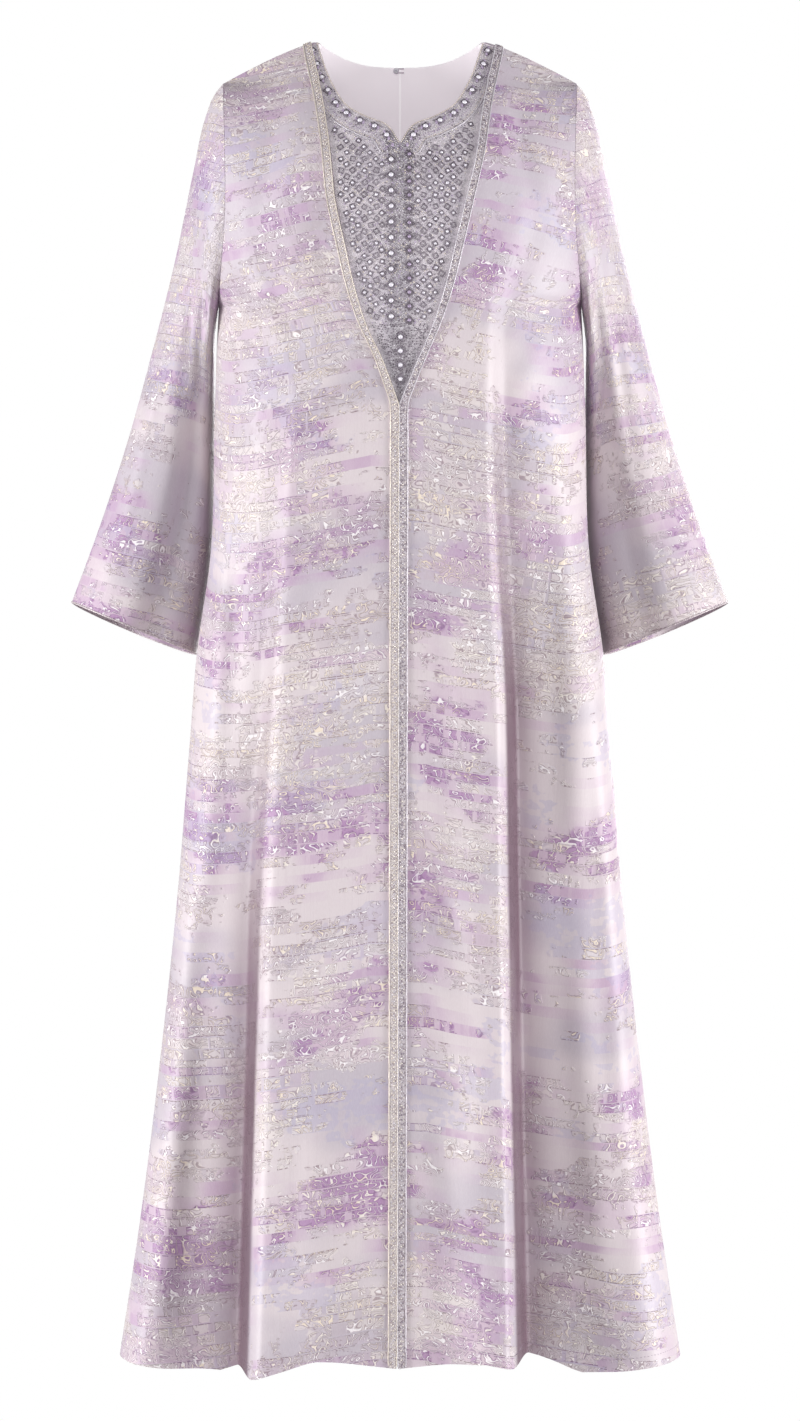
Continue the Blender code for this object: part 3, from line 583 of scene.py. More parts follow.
def grid_normals(grid, outward_sign, wraps=False):
    if wraps:
        across = np.roll(grid, -1, axis=1) - np.roll(grid, 1, axis=1)
    else:
        across = np.gradient(grid, axis=1)
    down = np.gradient(grid, axis=0)
    normals = outward_sign * np.cross(across, down)
    return normals / np.maximum(np.linalg.norm(normals, axis=2, keepdims=True), 1e-12)


def mitre_on_plane(normals, axis):
    """Offsets that keep a seam's wall in the seam's plane, at full thickness beside it."""
    flat = np.array(normals)
    flat[..., axis] = 0.0
    size = np.maximum((flat**2).sum(axis=-1, keepdims=True), 1 / MOST_MITRE)
    return flat / size


def build_shapes():
    """Outer points and wall directions of every panel and sleeve."""
    panels, directions, rows, shades = {}, {}, {}, {}
    for face in (FRONT, BACK):
        for side in (LEFT, RIGHT):
            panels[face, side], rows[face, side], shades[face, side] = panel_grid(face, side)
            directions[face, side] = grid_normals(panels[face, side], face * side)
    sleeves = {side: sleeve_grid(side) for side in (LEFT, RIGHT)}
    sleeve_directions = {side: grid_normals(sleeves[side], side, wraps=True) for side in sleeves}
    for (face, side), grid in panels.items():
        outward = directions[face, side]
        row_index = rows[face, side]
        armhole_end = row_index[ARMHOLE_ROWS]
        centre_start = row_index[ARMHOLE_ROWS + 2] if face == FRONT else 0
        neck_column = 0 if face == FRONT else BACK_PLACES.index(NECK_PLACE) * COLUMN_SPLITS
        outward[0, neck_column:] = mitre_on_plane(outward[0, neck_column:], 1)
        outward[centre_start:, 0] = mitre_on_plane(outward[centre_start:, 0], 0)
        outward[armhole_end:, -1] = mitre_on_plane(outward[armhole_end:, -1], 1)
        outward[:armhole_end, -1] = mitre_on_plane(outward[:armhole_end, -1], 0)
        edge = SEAM_GAP / 2
        grid[armhole_end:, -1, 1] += face * edge
        grid[0, neck_column:, 1] += face * edge
    return panels, directions, rows, sleeves, sleeve_directions, shades


def cloth_map(grid, sag=0.0, wraps=False):
    """Cloth coordinates in metres: u across the piece and v down it."""
    points = np.concatenate([grid, grid[:, :1]], axis=1) if wraps else grid
    steps_across = np.linalg.norm(np.diff(points, axis=1), axis=2)
    steps_down = np.linalg.norm(np.diff(points, axis=0), axis=2)
    u = np.concatenate([np.zeros((len(points), 1)), np.cumsum(steps_across, axis=1)], axis=1)
    v = np.concatenate([np.zeros((1, points.shape[1])), np.cumsum(steps_down, axis=0)], axis=0)
    v += -points[0, :, 2]
    flare = smooth_step(*MAP_FLARE, (v - v[0]) / (v[-1] - v[0]))
    return np.stack([u, v - sag * flare * u**2], axis=2)


def sleeve_shades():
    """How much the body shades each point of a sleeve, from 0 to 1."""
    turns = 2 * np.arange(RING_STEPS + 1) / RING_STEPS
    near = np.exp(-(((turns - 1) / SLEEVE_SHADE_WIDTH) ** 2))
    places = np.linspace(0.0, 1.0, SLEEVE_STEPS + 1)
    return np.outer(smooth_step(SLEEVE_SHADE_START, SLEEVE_SHADE_FULL, places), near)


def grid_corners(rows, columns, wraps=False):
    """Corner numbers of each face in the point grid, and in the cloth map's grid."""
    around = columns if wraps else columns - 1
    row, column = np.meshgrid(np.arange(rows - 1), np.arange(around), indexing="ij")
    row, column = row.ravel(), column.ravel()
    beside = (column + 1) % columns
    width = columns + 1 if wraps else columns
    grids = []
    for across, following in ((columns, beside), (width, column + 1)):
        above, below = row * across, (row + 1) * across
        corners = [above + column, below + column, below + following, above + following]
        grids.append(np.stack(corners, axis=1))
    return grids


def rim_of(corners, mapped):
    """Corners and map corners of the edges that only one face has."""
    seen = {}
    for face, map_face in zip(corners.tolist(), mapped.tolist()):
        for i in range(len(face)):
            j = (i + 1) % len(face)
            if (face[j], face[i]) in seen:
                del seen[face[j], face[i]]
            else:
                seen[face[i], face[j]] = (map_face[i], map_face[j])
    return seen


def make_mesh(name, points, faces, finishes, face_finish, face_maps=None):
    """A smooth mesh object with its materials and its cloth maps."""
    mesh = bpy.data.meshes.new(name)
    mesh.from_pydata(np.asarray(points).tolist(), [], [list(map(int, face)) for face in faces])
    for map_name, face_map in (face_maps or {}).items():
        layer = mesh.uv_layers.new(name=map_name)
        layer.data.foreach_set("uv", np.concatenate(face_map).astype(np.float32).ravel())
    for finish in finishes:
        mesh.materials.append(finish)
    mesh.polygons.foreach_set("material_index", np.asarray(face_finish, np.int32))
    mesh.shade_smooth()
    mesh.set_sharp_from_angle(angle=SHARP_ANGLE)
    mesh.update()
    made = bpy.data.objects.new(name, mesh)
    bpy.context.scene.collection.objects.link(made)
    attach(made, "root")
    return made


def shell(name, outer, outward, thickness, coordinates, finish, wraps=False, offset=0.0, shade=None):
    """A thin closed sheet on a grid, moved out along its directions by the offset."""
    rows, columns = outer.shape[:2]
    corners, mapped = grid_corners(rows, columns, wraps)
    top = (outer + outward * offset).reshape(-1, 3)
    bottom = (outer + outward * (offset - thickness)).reshape(-1, 3)
    count = len(top)
    faces = corners.tolist() + (corners[:, ::-1] + count).tolist()
    rims = rim_of(corners, mapped)
    faces += [[b, a, a + count, b + count] for a, b in rims]
    rim_maps = np.array([[b, a, a, b] for a, b in rims.values()])
    flat_maps = {"cloth": coordinates.reshape(-1, 2)}
    if shade is not None:
        flat_maps["folds"] = np.stack([shade.ravel(), np.zeros(shade.size)], axis=1)
    maps = {}
    for map_name, flat_map in flat_maps.items():
        maps[map_name] = [flat_map[part].reshape(-1, 2) for part in (mapped, mapped[:, ::-1], rim_maps)]
    return make_mesh(name, np.concatenate([top, bottom]), faces, [finish], [0] * len(faces), maps)


# A noise: its cells to a metre across, down and through, and how it is moved and worked
Grain = namedtuple("Grain", "across down shift detail distortion through", defaults=(0.0, 1.0, 0.0, 1.0))
ROW_GRAIN = 7.31


class Surface:
    """A node material with short calls for its nodes."""

    def __init__(self, name, roughness, metallic=0.0, sheen=0.0):
        self.material = bpy.data.materials.new(name)
        self.material.use_nodes = True
        self.tree = self.material.node_tree
        self.shader = self.tree.nodes["Principled BSDF"]
        self.set("Roughness", roughness)
        self.set("Metallic", metallic)
        self.set("Sheen Weight", sheen)
        self.set("Sheen Roughness", 0.4)

    def put(self, socket, value):
        if isinstance(value, bpy.types.NodeSocket):
            self.tree.links.new(value, socket)
        else:
            socket.default_value = value

    def set(self, name, value):
        self.put(self.shader.inputs[name], value)

    def math(self, operation, *values):
        made = self.tree.nodes.new("ShaderNodeMath")
        made.operation = operation
        for socket, value in zip(made.inputs, values):
            self.put(socket, value)
        return made.outputs[0]

    def times(self, first, *others):
        """The product of all the values."""
        for value in others:
            first = self.math("MULTIPLY", first, value)
        return first

    def plus(self, value, factor, base):
        """The value times the factor, added to the base."""
        return self.math("MULTIPLY_ADD", value, factor, base)

    def most(self, first, *others):
        """The greatest of all the values."""
        for value in others:
            first = self.math("MAXIMUM", first, value)
        return first

    def cloth_place(self, map_name="cloth"):
        made = self.tree.nodes.new("ShaderNodeUVMap")
        made.uv_map = map_name
        return made.outputs["UV"]

    def object_place(self):
        return self.tree.nodes.new("ShaderNodeTexCoord").outputs["Object"]

    def parts(self, place):
        """The first two parts of a place: across and down the cloth."""
        made = self.tree.nodes.new("ShaderNodeSeparateXYZ")
        self.put(made.inputs[0], place)
        return made.outputs[0], made.outputs[1]

    def noise(self, place, grain):
        """Noise between 0 and 1, with its own scale along each axis."""
        mapping = self.tree.nodes.new("ShaderNodeMapping")
        self.put(mapping.inputs["Vector"], place)
        mapping.inputs["Location"].default_value = (grain.shift, grain.shift * 0.7, grain.shift * 0.3)
        mapping.inputs["Scale"].default_value = (grain.across, grain.down, grain.through)
        made = self.tree.nodes.new("ShaderNodeTexNoise")
        self.put(made.inputs["Vector"], mapping.outputs["Vector"])
        made.inputs["Scale"].default_value = 1.0
        made.inputs["Detail"].default_value = grain.detail
        made.inputs["Distortion"].default_value = grain.distortion
        return made.outputs[0]

    def ripples(self, place, grain, count):
        """Contour lines of a noise: 0 to 0.5 and back, this many times over its range."""
        return self.math("PINGPONG", self.times(self.noise(place, grain), count), 0.5)

    def row_noise(self, across, row, scale, detail, shift=0.0):
        """Noise along each woven row that doesn't carry over to the next row."""
        made = self.tree.nodes.new("ShaderNodeCombineXYZ")
        self.put(made.inputs[0], across)
        self.put(made.inputs[1], row)
        return self.noise(made.outputs[0], Grain(scale, ROW_GRAIN, shift, detail))

    def step(self, value, low, high):
        made = self.tree.nodes.new("ShaderNodeMapRange")
        made.interpolation_type = "SMOOTHSTEP"
        self.put(made.inputs["Value"], value)
        made.inputs["From Min"].default_value = low
        made.inputs["From Max"].default_value = high
        return made.outputs["Result"]

    def mix(self, first, second, *weights):
        """The first colour, turned towards the second by the product of the weights."""
        made = self.tree.nodes.new("ShaderNodeMix")
        made.data_type = "RGBA"
        for index, value in ((0, self.times(*weights)), (6, first), (7, second)):
            self.put(made.inputs[index], value)
        return made.outputs[2]

    def bump(self, height, distance, strength=1.0):
        made = self.tree.nodes.new("ShaderNodeBump")
        made.inputs["Strength"].default_value = strength
        made.inputs["Distance"].default_value = distance
        self.put(made.inputs["Height"], height)
        self.set("Normal", made.outputs["Normal"])


def tint(red, green, blue):
    """A display colour, 0 to 255 a channel, as the shader's linear colour."""
    parts = [value / 255 for value in (red, green, blue)]
    linear = [part / 12.92 if part <= 0.04045 else ((part + 0.055) / 1.055) ** 2.4 for part in parts]
    return (*linear, 1.0)


# Colours of the brocade
PLAIN, SHEER = tint(213, 201, 205), tint(190, 180, 190)
PURPLE, DEEP_PURPLE, STRONG_PURPLE = tint(190, 156, 188), tint(118, 80, 124), tint(162, 116, 166)
TAUPE, BLUE_VIOLET = tint(184, 168, 176), tint(170, 164, 196)
CREAM, GOLD, WHITE = tint(240, 231, 223), tint(238, 222, 202), tint(246, 240, 243)
DARK_TAUPE = tint(124, 94, 106)
FOLD_SHADE = tint(104, 78, 92)

# The woven rows: their height in metres, and how they wander and differ in height
WOVEN_ROW = 0.0108
ROW_WANDER, WANDER_GRAIN = 0.012, Grain(7.0, 4.0, 3.1)
ROW_STRETCH, STRETCH_GRAIN = 0.016, Grain(1.2, 26.0, 8.3, 0.0)
ROW_EDGE, ROW_MIDDLE = (0.46, 0.41), 0.5
JOIN_GRAIN, JOIN_EDGE, JOINED_ROWS, JOINED_LETTERS = Grain(9.0, 22.0, 61.0), (0.50, 0.55), 0.9, 0.6

# The patches that the rows fill, denser above a height, in ragged strokes of short blocks
Patch = namedtuple("Patch", "shift share")
PATCHES = {
    "purple": Patch(0.0, 0.512),
    "cream": Patch(11.3, 0.515),
    "taupe": Patch(23.9, 0.530),
    "blue": Patch(37.1, 0.550),
}
PATCH_GRAIN, PATCH_PART, PATCH_EDGE = Grain(6.5, 9.5, 0.0, 3.0), 0.62, 0.012
STROKE_SCALE, STROKE_DETAIL, STROKE_PART = 17.0, 3.0, 0.38
LETTER_SCALE, LETTER_EDGE = 85.0, (0.40, 0.43)
DENSE_EDGE, DENSE_MORE, DENSE_SHEER = (0.42, 0.21), 0.030, 30.0
FRAY_GRAIN, FRAY_DEPTH = Grain(105.0, 130.0, 29.0), 0.16

# The ground under them: cloudy satin with a lilac wash, stronger where it is worked
CLOUD_GRAIN, CLOUD_EDGE = Grain(4.0, 8.0, 51.0, 2.0), (0.44, 0.58)
WASH_SCALE, WASH_DETAIL, WASH_PART = 9.0, 2.0, 0.5
WASH_EDGE, WASH_WEIGHT = (0.46, 0.60), 0.62
STRONG_EDGE, STRONG_PATCH, STRONG_LEAST = (0.535, 0.560), 0.55, 0.20
TONE_WEIGHT = 0.35

# The curling outlines: a light line with a painted shadow beside it, and dashes along the rows' edges
CURL_GRAIN, CURL_COUNT = Grain(62.0, 80.0, 7.7, 0.0, 1.3), 5.0
LIGHT_LINE, LIGHT_WEIGHT = (0.39, 0.44), 0.92
SHADOW_LINE_RISE, SHADOW_LINE_FALL, SHADOW_LINE_WEIGHT = (0.20, 0.27), (0.38, 0.33), 0.62
WARM_GRAIN, WARM_EDGE, GOLD_EDGE = Grain(7.0, 34.0, 77.0), (0.46, 0.54), (0.48, 0.58)
DEEP_EDGE = (0.50, 0.56)
RAIL_RISE, RAIL_FALL = (0.37, 0.40), (0.47, 0.44)
RAIL_SCALE, RAIL_SHIFT, RAIL_EDGE = 11.0, 5.0, (0.50, 0.53)
DASH_GRAIN, DASH_EDGE, DASH_WEIGHT = Grain(330.0, 60.0, 13.0), (0.44, 0.50), 0.85

# Single threads, and the uneven shade in the folds
THREAD_GRAIN, THREAD_EDGE = Grain(1500.0, 260.0, 1.0), (0.35, 0.75)
WARP_GRAIN, WARP_EDGE = Grain(700.0, 12.0, 2.0), (0.50, 0.70)
THREAD_WEIGHT, THREAD_HEIGHT = 0.10, 0.06
SHADE_GRAIN, SHADE_RANGE, SHADE_LEAST = Grain(14.0, 5.0, 43.0), 0.6, 0.66
CLOTH_ROUGH, BLOCK_ROUGH, LINE_ROUGH, LINE_METAL = 0.46, 0.06, -0.06, 0.05
BLOCK_HEIGHT, LINE_HEIGHT, RELIEF = 0.35, 0.65, 0.0006


def woven_rows(surface, place):
    """(number of the row, distance from its middle) for rows that wander and differ in height."""
    _, down = surface.parts(place)
    wander = surface.noise(place, WANDER_GRAIN)
    stretch = surface.noise(place, STRETCH_GRAIN)
    level = surface.plus(stretch, ROW_STRETCH, surface.plus(wander, ROW_WANDER, down))
    level = surface.math("DIVIDE", level, WOVEN_ROW)
    row = surface.math("FLOOR", level)
    inside_row = surface.math("SUBTRACT", level, row)
    return row, surface.math("ABSOLUTE", surface.math("SUBTRACT", inside_row, ROW_MIDDLE))


def woven_patches(surface, place, stroke, dense):
    """Where the patches of each tone lie, as ragged strokes along the rows."""
    frayed = surface.plus(surface.noise(place, FRAY_GRAIN), FRAY_DEPTH, -FRAY_DEPTH / 2)
    cover = {}
    for tone, patch in PATCHES.items():
        large = surface.noise(place, PATCH_GRAIN._replace(shift=patch.shift))
        mixed = surface.plus(large, PATCH_PART, surface.plus(stroke, STROKE_PART, dense))
        mixed = surface.math("ADD", mixed, frayed)
        cover[tone] = surface.step(mixed, patch.share, patch.share + PATCH_EDGE)
    return cover


def brocade_ground(surface, place, wash, dense, cover, worked, block, in_row):
    """Satin with a lilac wash, and the tones of the patches over it."""
    cloud = surface.step(surface.noise(place, CLOUD_GRAIN), *CLOUD_EDGE)
    colour = surface.mix(PLAIN, SHEER, cloud)
    colour = surface.mix(colour, SHEER, dense, DENSE_SHEER)
    colour = surface.mix(colour, PURPLE, surface.step(wash, *WASH_EDGE), WASH_WEIGHT)
    stronger = surface.plus(cover["purple"], STRONG_PATCH, STRONG_LEAST)
    colour = surface.mix(colour, STRONG_PURPLE, surface.step(wash, *STRONG_EDGE), worked, stronger)
    colour = surface.mix(colour, BLUE_VIOLET, cover["blue"], TONE_WEIGHT)
    colour = surface.mix(colour, TAUPE, cover["taupe"], in_row, TONE_WEIGHT)
    return surface.mix(colour, CREAM, cover["cream"], block, TONE_WEIGHT)


def brocade_material():
    """Satin ground with woven patches: rows of short blocks filled with curling raised outlines, each with
    a painted shadow beside it.
    """
    surface = Surface("brocade_cloth", CLOTH_ROUGH, sheen=0.12)
    place = surface.cloth_place()
    across, down = surface.parts(place)
    row, from_middle = woven_rows(surface, place)
    stroke = surface.row_noise(across, row, STROKE_SCALE, STROKE_DETAIL)
    letter = surface.row_noise(across, row, LETTER_SCALE, 1.0)
    dense = surface.times(surface.step(down, *DENSE_EDGE), DENSE_MORE)
    cover = woven_patches(surface, place, stroke, dense)
    joined = surface.step(surface.noise(place, JOIN_GRAIN), *JOIN_EDGE)
    in_row = surface.most(surface.step(from_middle, *ROW_EDGE), surface.times(joined, JOINED_ROWS))
    letters = surface.most(surface.step(letter, *LETTER_EDGE), surface.times(joined, JOINED_LETTERS))
    covered = surface.most(cover["purple"], cover["cream"], cover["taupe"])
    worked = surface.times(in_row, letters)
    block = surface.times(covered, in_row, letters)

    wash_row = surface.row_noise(across, row, WASH_SCALE, WASH_DETAIL)
    wash = surface.plus(wash_row, WASH_PART, dense)
    wash = surface.plus(surface.noise(place, PATCH_GRAIN), WASH_PART, wash)
    colour = brocade_ground(surface, place, wash, dense, cover, worked, block, in_row)

    wave = surface.ripples(place, CURL_GRAIN, CURL_COUNT)
    light_line = surface.times(surface.step(wave, *LIGHT_LINE), block)
    # Painted shadow: a darker line beside each raised light line, standing in for the shade it casts
    painted_shadow_line = surface.times(surface.step(wave, *SHADOW_LINE_RISE), surface.step(wave, *SHADOW_LINE_FALL), block)
    warm = surface.step(surface.noise(place, WARM_GRAIN), *WARM_EDGE)
    light = surface.mix(WHITE, surface.mix(CREAM, GOLD, surface.step(stroke, *GOLD_EDGE)), warm)
    # This dark colour serves both the painted shadow beside the raised lines and the real dark dashes along
    # the rows' edges
    dark = surface.mix(DARK_TAUPE, DEEP_PURPLE, surface.step(wash, *DEEP_EDGE))
    rail = surface.times(surface.step(from_middle, *RAIL_RISE), surface.step(from_middle, *RAIL_FALL))
    rail_cover = surface.step(surface.row_noise(across, row, RAIL_SCALE, 1.0, RAIL_SHIFT), *RAIL_EDGE)
    dash = surface.step(surface.noise(place, DASH_GRAIN), *DASH_EDGE)
    # The painted shadow beside the raised lines
    colour = surface.mix(colour, dark, painted_shadow_line, SHADOW_LINE_WEIGHT)
    colour = surface.mix(colour, dark, dash, rail, rail_cover, covered, DASH_WEIGHT)
    colour = surface.mix(colour, light, light_line, LIGHT_WEIGHT)

    threads = surface.noise(place, THREAD_GRAIN)
    warp = surface.noise(place, WARP_GRAIN)
    colour = surface.mix(colour, WHITE, surface.step(threads, *THREAD_EDGE), THREAD_WEIGHT)
    colour = surface.mix(colour, TAUPE, surface.step(warp, *WARP_EDGE), THREAD_WEIGHT)
    shade, _ = surface.parts(surface.cloth_place("folds"))
    uneven = surface.plus(surface.noise(place, SHADE_GRAIN), SHADE_RANGE, SHADE_LEAST)
    surface.set("Base Color", surface.mix(colour, FOLD_SHADE, shade, uneven))
    surface.set("Metallic", surface.times(light_line, LINE_METAL))
    rough = surface.plus(block, BLOCK_ROUGH, CLOTH_ROUGH)
    surface.set("Roughness", surface.plus(light_line, LINE_ROUGH, rough))
    height = surface.plus(block, BLOCK_HEIGHT, surface.times(light_line, LINE_HEIGHT))
    surface.bump(surface.plus(threads, THREAD_HEIGHT, height), RELIEF)
    return surface.material


# The lining: cloudy satin with fine threads, and the strength of its painted glow, light it gives off in
# its own colour to show brighter
LINING_TINT, LINING_CLOUD = tint(226, 218, 223), tint(219, 211, 217)
LINING_THREADS, LINING_CLOUDS = Grain(1600.0, 900.0, 2.0), Grain(9.0, 5.0, 9.0, 2.0)
LINING_PAINTED_GLOW = 0.52


def lining_material():
    surface = Surface("lining_cloth", 0.36, sheen=0.10)
    place = surface.cloth_place()
    threads = surface.noise(place, LINING_THREADS)
    cloudy = surface.step(surface.noise(place, LINING_CLOUDS), 0.35, 0.65)
    colour = surface.mix(surface.mix(LINING_CLOUD, LINING_TINT, cloudy), WHITE, threads, 0.12)
    surface.set("Base Color", colour)
    # Painted light: the lining glows in its own colour, though it is no lamp
    surface.set("Emission Color", colour)
    surface.set("Emission Strength", LINING_PAINTED_GLOW)
    surface.bump(threads, 0.00012, 0.5)
    return surface.material


# The yoke's ground: two lilacs, the darker band and tip, silver line work, and painted shade in the hollows
# between the lines
YOKE_FIELD, YOKE_PALE = tint(226, 216, 226), tint(236, 226, 233)
YOKE_BAND, YOKE_PAINTED_SHADE, YOKE_LINE = tint(140, 134, 143), tint(104, 96, 110), tint(222, 218, 224)
YOKE_CURLS, YOKE_CURL_COUNT = Grain(260.0, 260.0, 3.0, 1.0, 0.8), 4.0
YOKE_CLOUDS, YOKE_RAGGED = Grain(40.0, 30.0, 6.0), Grain(90.0, 60.0, 19.0, 2.0)
BAND_MIDDLE, BAND_RAGGED, BAND_EDGE = 0.001, 0.012, (0.028, 0.012)
V_SLOPE, V_HALF, TIP_EDGE = -0.45, 0.212, (0.068, 0.050)


def yoke_material():
    """Lilac net fields worked with silver line, and a darker dense band down the middle."""
    surface = Surface("yoke_work", 0.42, 0.15)
    place = surface.cloth_place()
    across, down = surface.parts(place)
    wave = surface.ripples(place, YOKE_CURLS, YOKE_CURL_COUNT)
    line = surface.step(wave, 0.30, 0.42)
    painted_hollow_shade = surface.step(wave, 0.16, 0.04)
    off_centre = surface.math("ABSOLUTE", surface.math("ADD", across, -BAND_MIDDLE))
    off_centre = surface.plus(surface.noise(place, YOKE_RAGGED), BAND_RAGGED, off_centre)
    narrowing = surface.plus(down, V_SLOPE, V_HALF)
    band = surface.most(surface.step(off_centre, *BAND_EDGE), surface.step(narrowing, *TIP_EDGE))
    cloudy = surface.step(surface.noise(place, YOKE_CLOUDS), 0.4, 0.6)
    colour = surface.mix(surface.mix(YOKE_PALE, YOKE_FIELD, cloudy), YOKE_BAND, band, 0.60)
    # Painted shade: the ground darkens midway between the raised silver lines
    colour = surface.mix(colour, YOKE_PAINTED_SHADE, painted_hollow_shade, 0.38)
    surface.set("Base Color", surface.mix(colour, YOKE_LINE, line, 0.60))
    surface.set("Roughness", surface.plus(line, -0.15, 0.45))
    surface.bump(line, 0.0006, 0.9)
    return surface.material


# The braids' twisted thread: its slant, its strands and the darker specks between them
STRAND_GAPS = tint(196, 186, 192)
STRAND_SLANT, STRANDS, SPECKS = math.radians(35), Grain(2200.0, 300.0, 4.0), Grain(420.0, 420.0, 8.0)


def braid_material(name, light, dark, share):
    """Twisted metallic thread: slanting strands with darker gaps."""
    surface = Surface(name, 0.32, 0.35)
    place = surface.cloth_place()
    slanted = surface.tree.nodes.new("ShaderNodeMapping")
    surface.put(slanted.inputs["Vector"], place)
    slanted.inputs["Rotation"].default_value = (0.0, 0.0, STRAND_SLANT)
    strands = surface.noise(slanted.outputs["Vector"], STRANDS)
    colour = surface.mix(STRAND_GAPS, light, surface.step(strands, 0.30, 0.55))
    specks = surface.step(surface.noise(place, SPECKS), 1.0 - share, 1.04 - share)
    surface.set("Base Color", surface.mix(colour, dark, specks))
    surface.bump(strands, 0.0004, 0.8)
    return surface.material


def trim_material(name, first, second, roughness, metallic, scale):
    """Beads and stones: one colour that drifts into another from bead to bead."""
    surface = Surface(name, roughness, metallic)
    drift = surface.noise(surface.object_place(), Grain(scale, scale, 1.0, through=scale))
    surface.set("Base Color", surface.mix(tint(*first), tint(*second), surface.step(drift, 0.4, 0.6)))
    return surface.material


Trim = namedtuple("Trim", "name first second roughness metallic scale", defaults=(900.0,))
TRIMS = {
    "silver": Trim("silver_settings", (226, 221, 226), (196, 190, 199), 0.38, 0.30),
    "crystal": Trim("clear_stones", (250, 248, 252), (222, 214, 230), 0.12, 0.10),
    "lilac": Trim("lilac_beads", (166, 146, 176), (190, 176, 200), 0.28, 0.20),
    "dark": Trim("dark_beads", (104, 94, 106), (138, 126, 138), 0.32, 0.35),
    "gold": Trim("gold_beads", (232, 222, 210), (212, 200, 190), 0.34, 0.25),
    "thread": Trim("seam_thread", (168, 152, 168), (142, 126, 144), 0.60, 0.0),
    "pearl": Trim("pearl_beads", (244, 238, 230), (222, 212, 206), 0.22, 0.25),
    "rim": Trim("speckled_rim", (168, 152, 160), (214, 204, 206), 0.45, 0.10, 700.0),
    "pewter": Trim("pewter_settings", (158, 148, 158), (132, 122, 135), 0.34, 0.40),
}
FINISH = {name: index for index, name in enumerate(TRIMS)}
FINISHES = [trim_material(*trim) for trim in TRIMS.values()]


class Heap:
    """Many small parts joined into one piece."""

    def __init__(self):
        self.points, self.faces, self.finishes, self.count = [], [], [], 0

    def add(self, points, faces, tone):
        self.points.append(points)
        self.faces += [[corner + self.count for corner in face] for face in faces]
        self.finishes += [FINISH[tone]] * len(faces)
        self.count += len(points)

    def scatter(self, template, places, normals, sizes, tone, turn=0.0, stretch=(1.0, 1.0, 1.0)):
        """Copies of a template, its +Z along each normal, turned about it."""
        shape, faces = template
        sizes = np.broadcast_to(sizes, len(places))
        turns = np.broadcast_to(turn, len(places))
        for place, normal, size, turned in zip(places, normals, sizes, turns):
            side = np.cross(normal, (0.0, 0.0, 1.0))
            side = side / max(np.linalg.norm(side), 1e-9)
            up = np.cross(side, normal)
            first = math.cos(turned) * side + math.sin(turned) * up
            second = np.cross(normal, first)
            local = shape * (size * np.array(stretch))
            self.add(place + local @ np.array([first, second, normal]), faces, tone)

    def tube(self, path, radius, tone, sides=6):
        """A round cord along a path."""
        ahead = np.gradient(path, axis=0)
        ahead /= np.maximum(np.linalg.norm(ahead, axis=1, keepdims=True), 1e-9)
        side = np.cross(ahead, (0.0, -1.0, 0.15))
        side /= np.maximum(np.linalg.norm(side, axis=1, keepdims=True), 1e-9)
        up = np.cross(side, ahead)
        angles = (2 * math.pi * np.arange(sides) / sides)[None, :, None]
        rings = path[:, None] + radius * (np.cos(angles) * side[:, None] + np.sin(angles) * up[:, None])
        corners, _ = grid_corners(len(path), sides, True)
        last = (len(path) - 1) * sides
        faces = corners.tolist() + [list(range(sides)), list(range(last, last + sides))[::-1]]
        self.add(rings.reshape(-1, 3), faces, tone)

    def build(self, name):
        made = make_mesh(name, np.concatenate(self.points), self.faces, FINISHES, self.finishes)
        return made


def round_template():
    """A small bead: a twenty-sided ball."""
    golden = (1 + math.sqrt(5)) / 2
    corners = []
    for a in (-1, 1):
        for b in (-golden, golden):
            corners += [(0, a, b), (a, b, 0), (b, 0, a)]
    points = np.array(corners, float)
    points /= np.linalg.norm(points[0])
    faces = []
    edge = min(np.linalg.norm(points[0] - points[i]) for i in range(1, 12)) * 1.01
    near = [[np.linalg.norm(p - q) < edge for q in points] for p in points]
    for i, j, k in itertools.combinations(range(12), 3):
        if near[i][j] and near[j][k] and near[i][k]:
            out = np.dot(np.cross(points[j] - points[i], points[k] - points[i]), points[i]) > 0
            faces.append([i, j, k] if out else [i, k, j])
    return points, faces


def ringed_template(rings, corners, closed):
    """(points, faces) of rings of corners at (radius, height), with a flat top if closed."""
    points = [(radius * x, radius * y, height) for radius, height in rings for x, y in corners]
    sides = len(corners)
    faces = []
    for ring in range(len(rings) - 1):
        for i in range(sides):
            low, beside = ring * sides + i, ring * sides + (i + 1) % sides
            faces.append([low, beside, beside + sides, low + sides])
    if closed:
        faces.append(list(range((len(rings) - 1) * sides, len(rings) * sides)))
    return np.array(points, float), faces


EIGHT = [(math.cos(math.pi * i / 4), math.sin(math.pi * i / 4)) for i in range(8)]
SQUARE = [(-1, -1), (1, -1), (1, 1), (-1, 1)]
BALL = round_template()
STONE = ringed_template(((0.92, 0.0), (1.0, 0.25), (0.55, 0.75)), EIGHT, True)
SETTING = ringed_template(((1.0, 0.0), (0.90, 0.32), (0.76, 0.32), (0.66, 0.0)), SQUARE, False)

# The yoke's neckline as a fine curve, and the steps of its grid
NECK_CURVE_PLACES = np.linspace(0.0, 1.0, 240)
NECK_ACROSS = along(NECKLINE, "across", NECK_CURVE_PLACES)
NECK_DROP = along(NECKLINE, "drop", NECK_CURVE_PLACES)
YOKE_STEPS = 18
SLOPE_NUDGE = 0.001

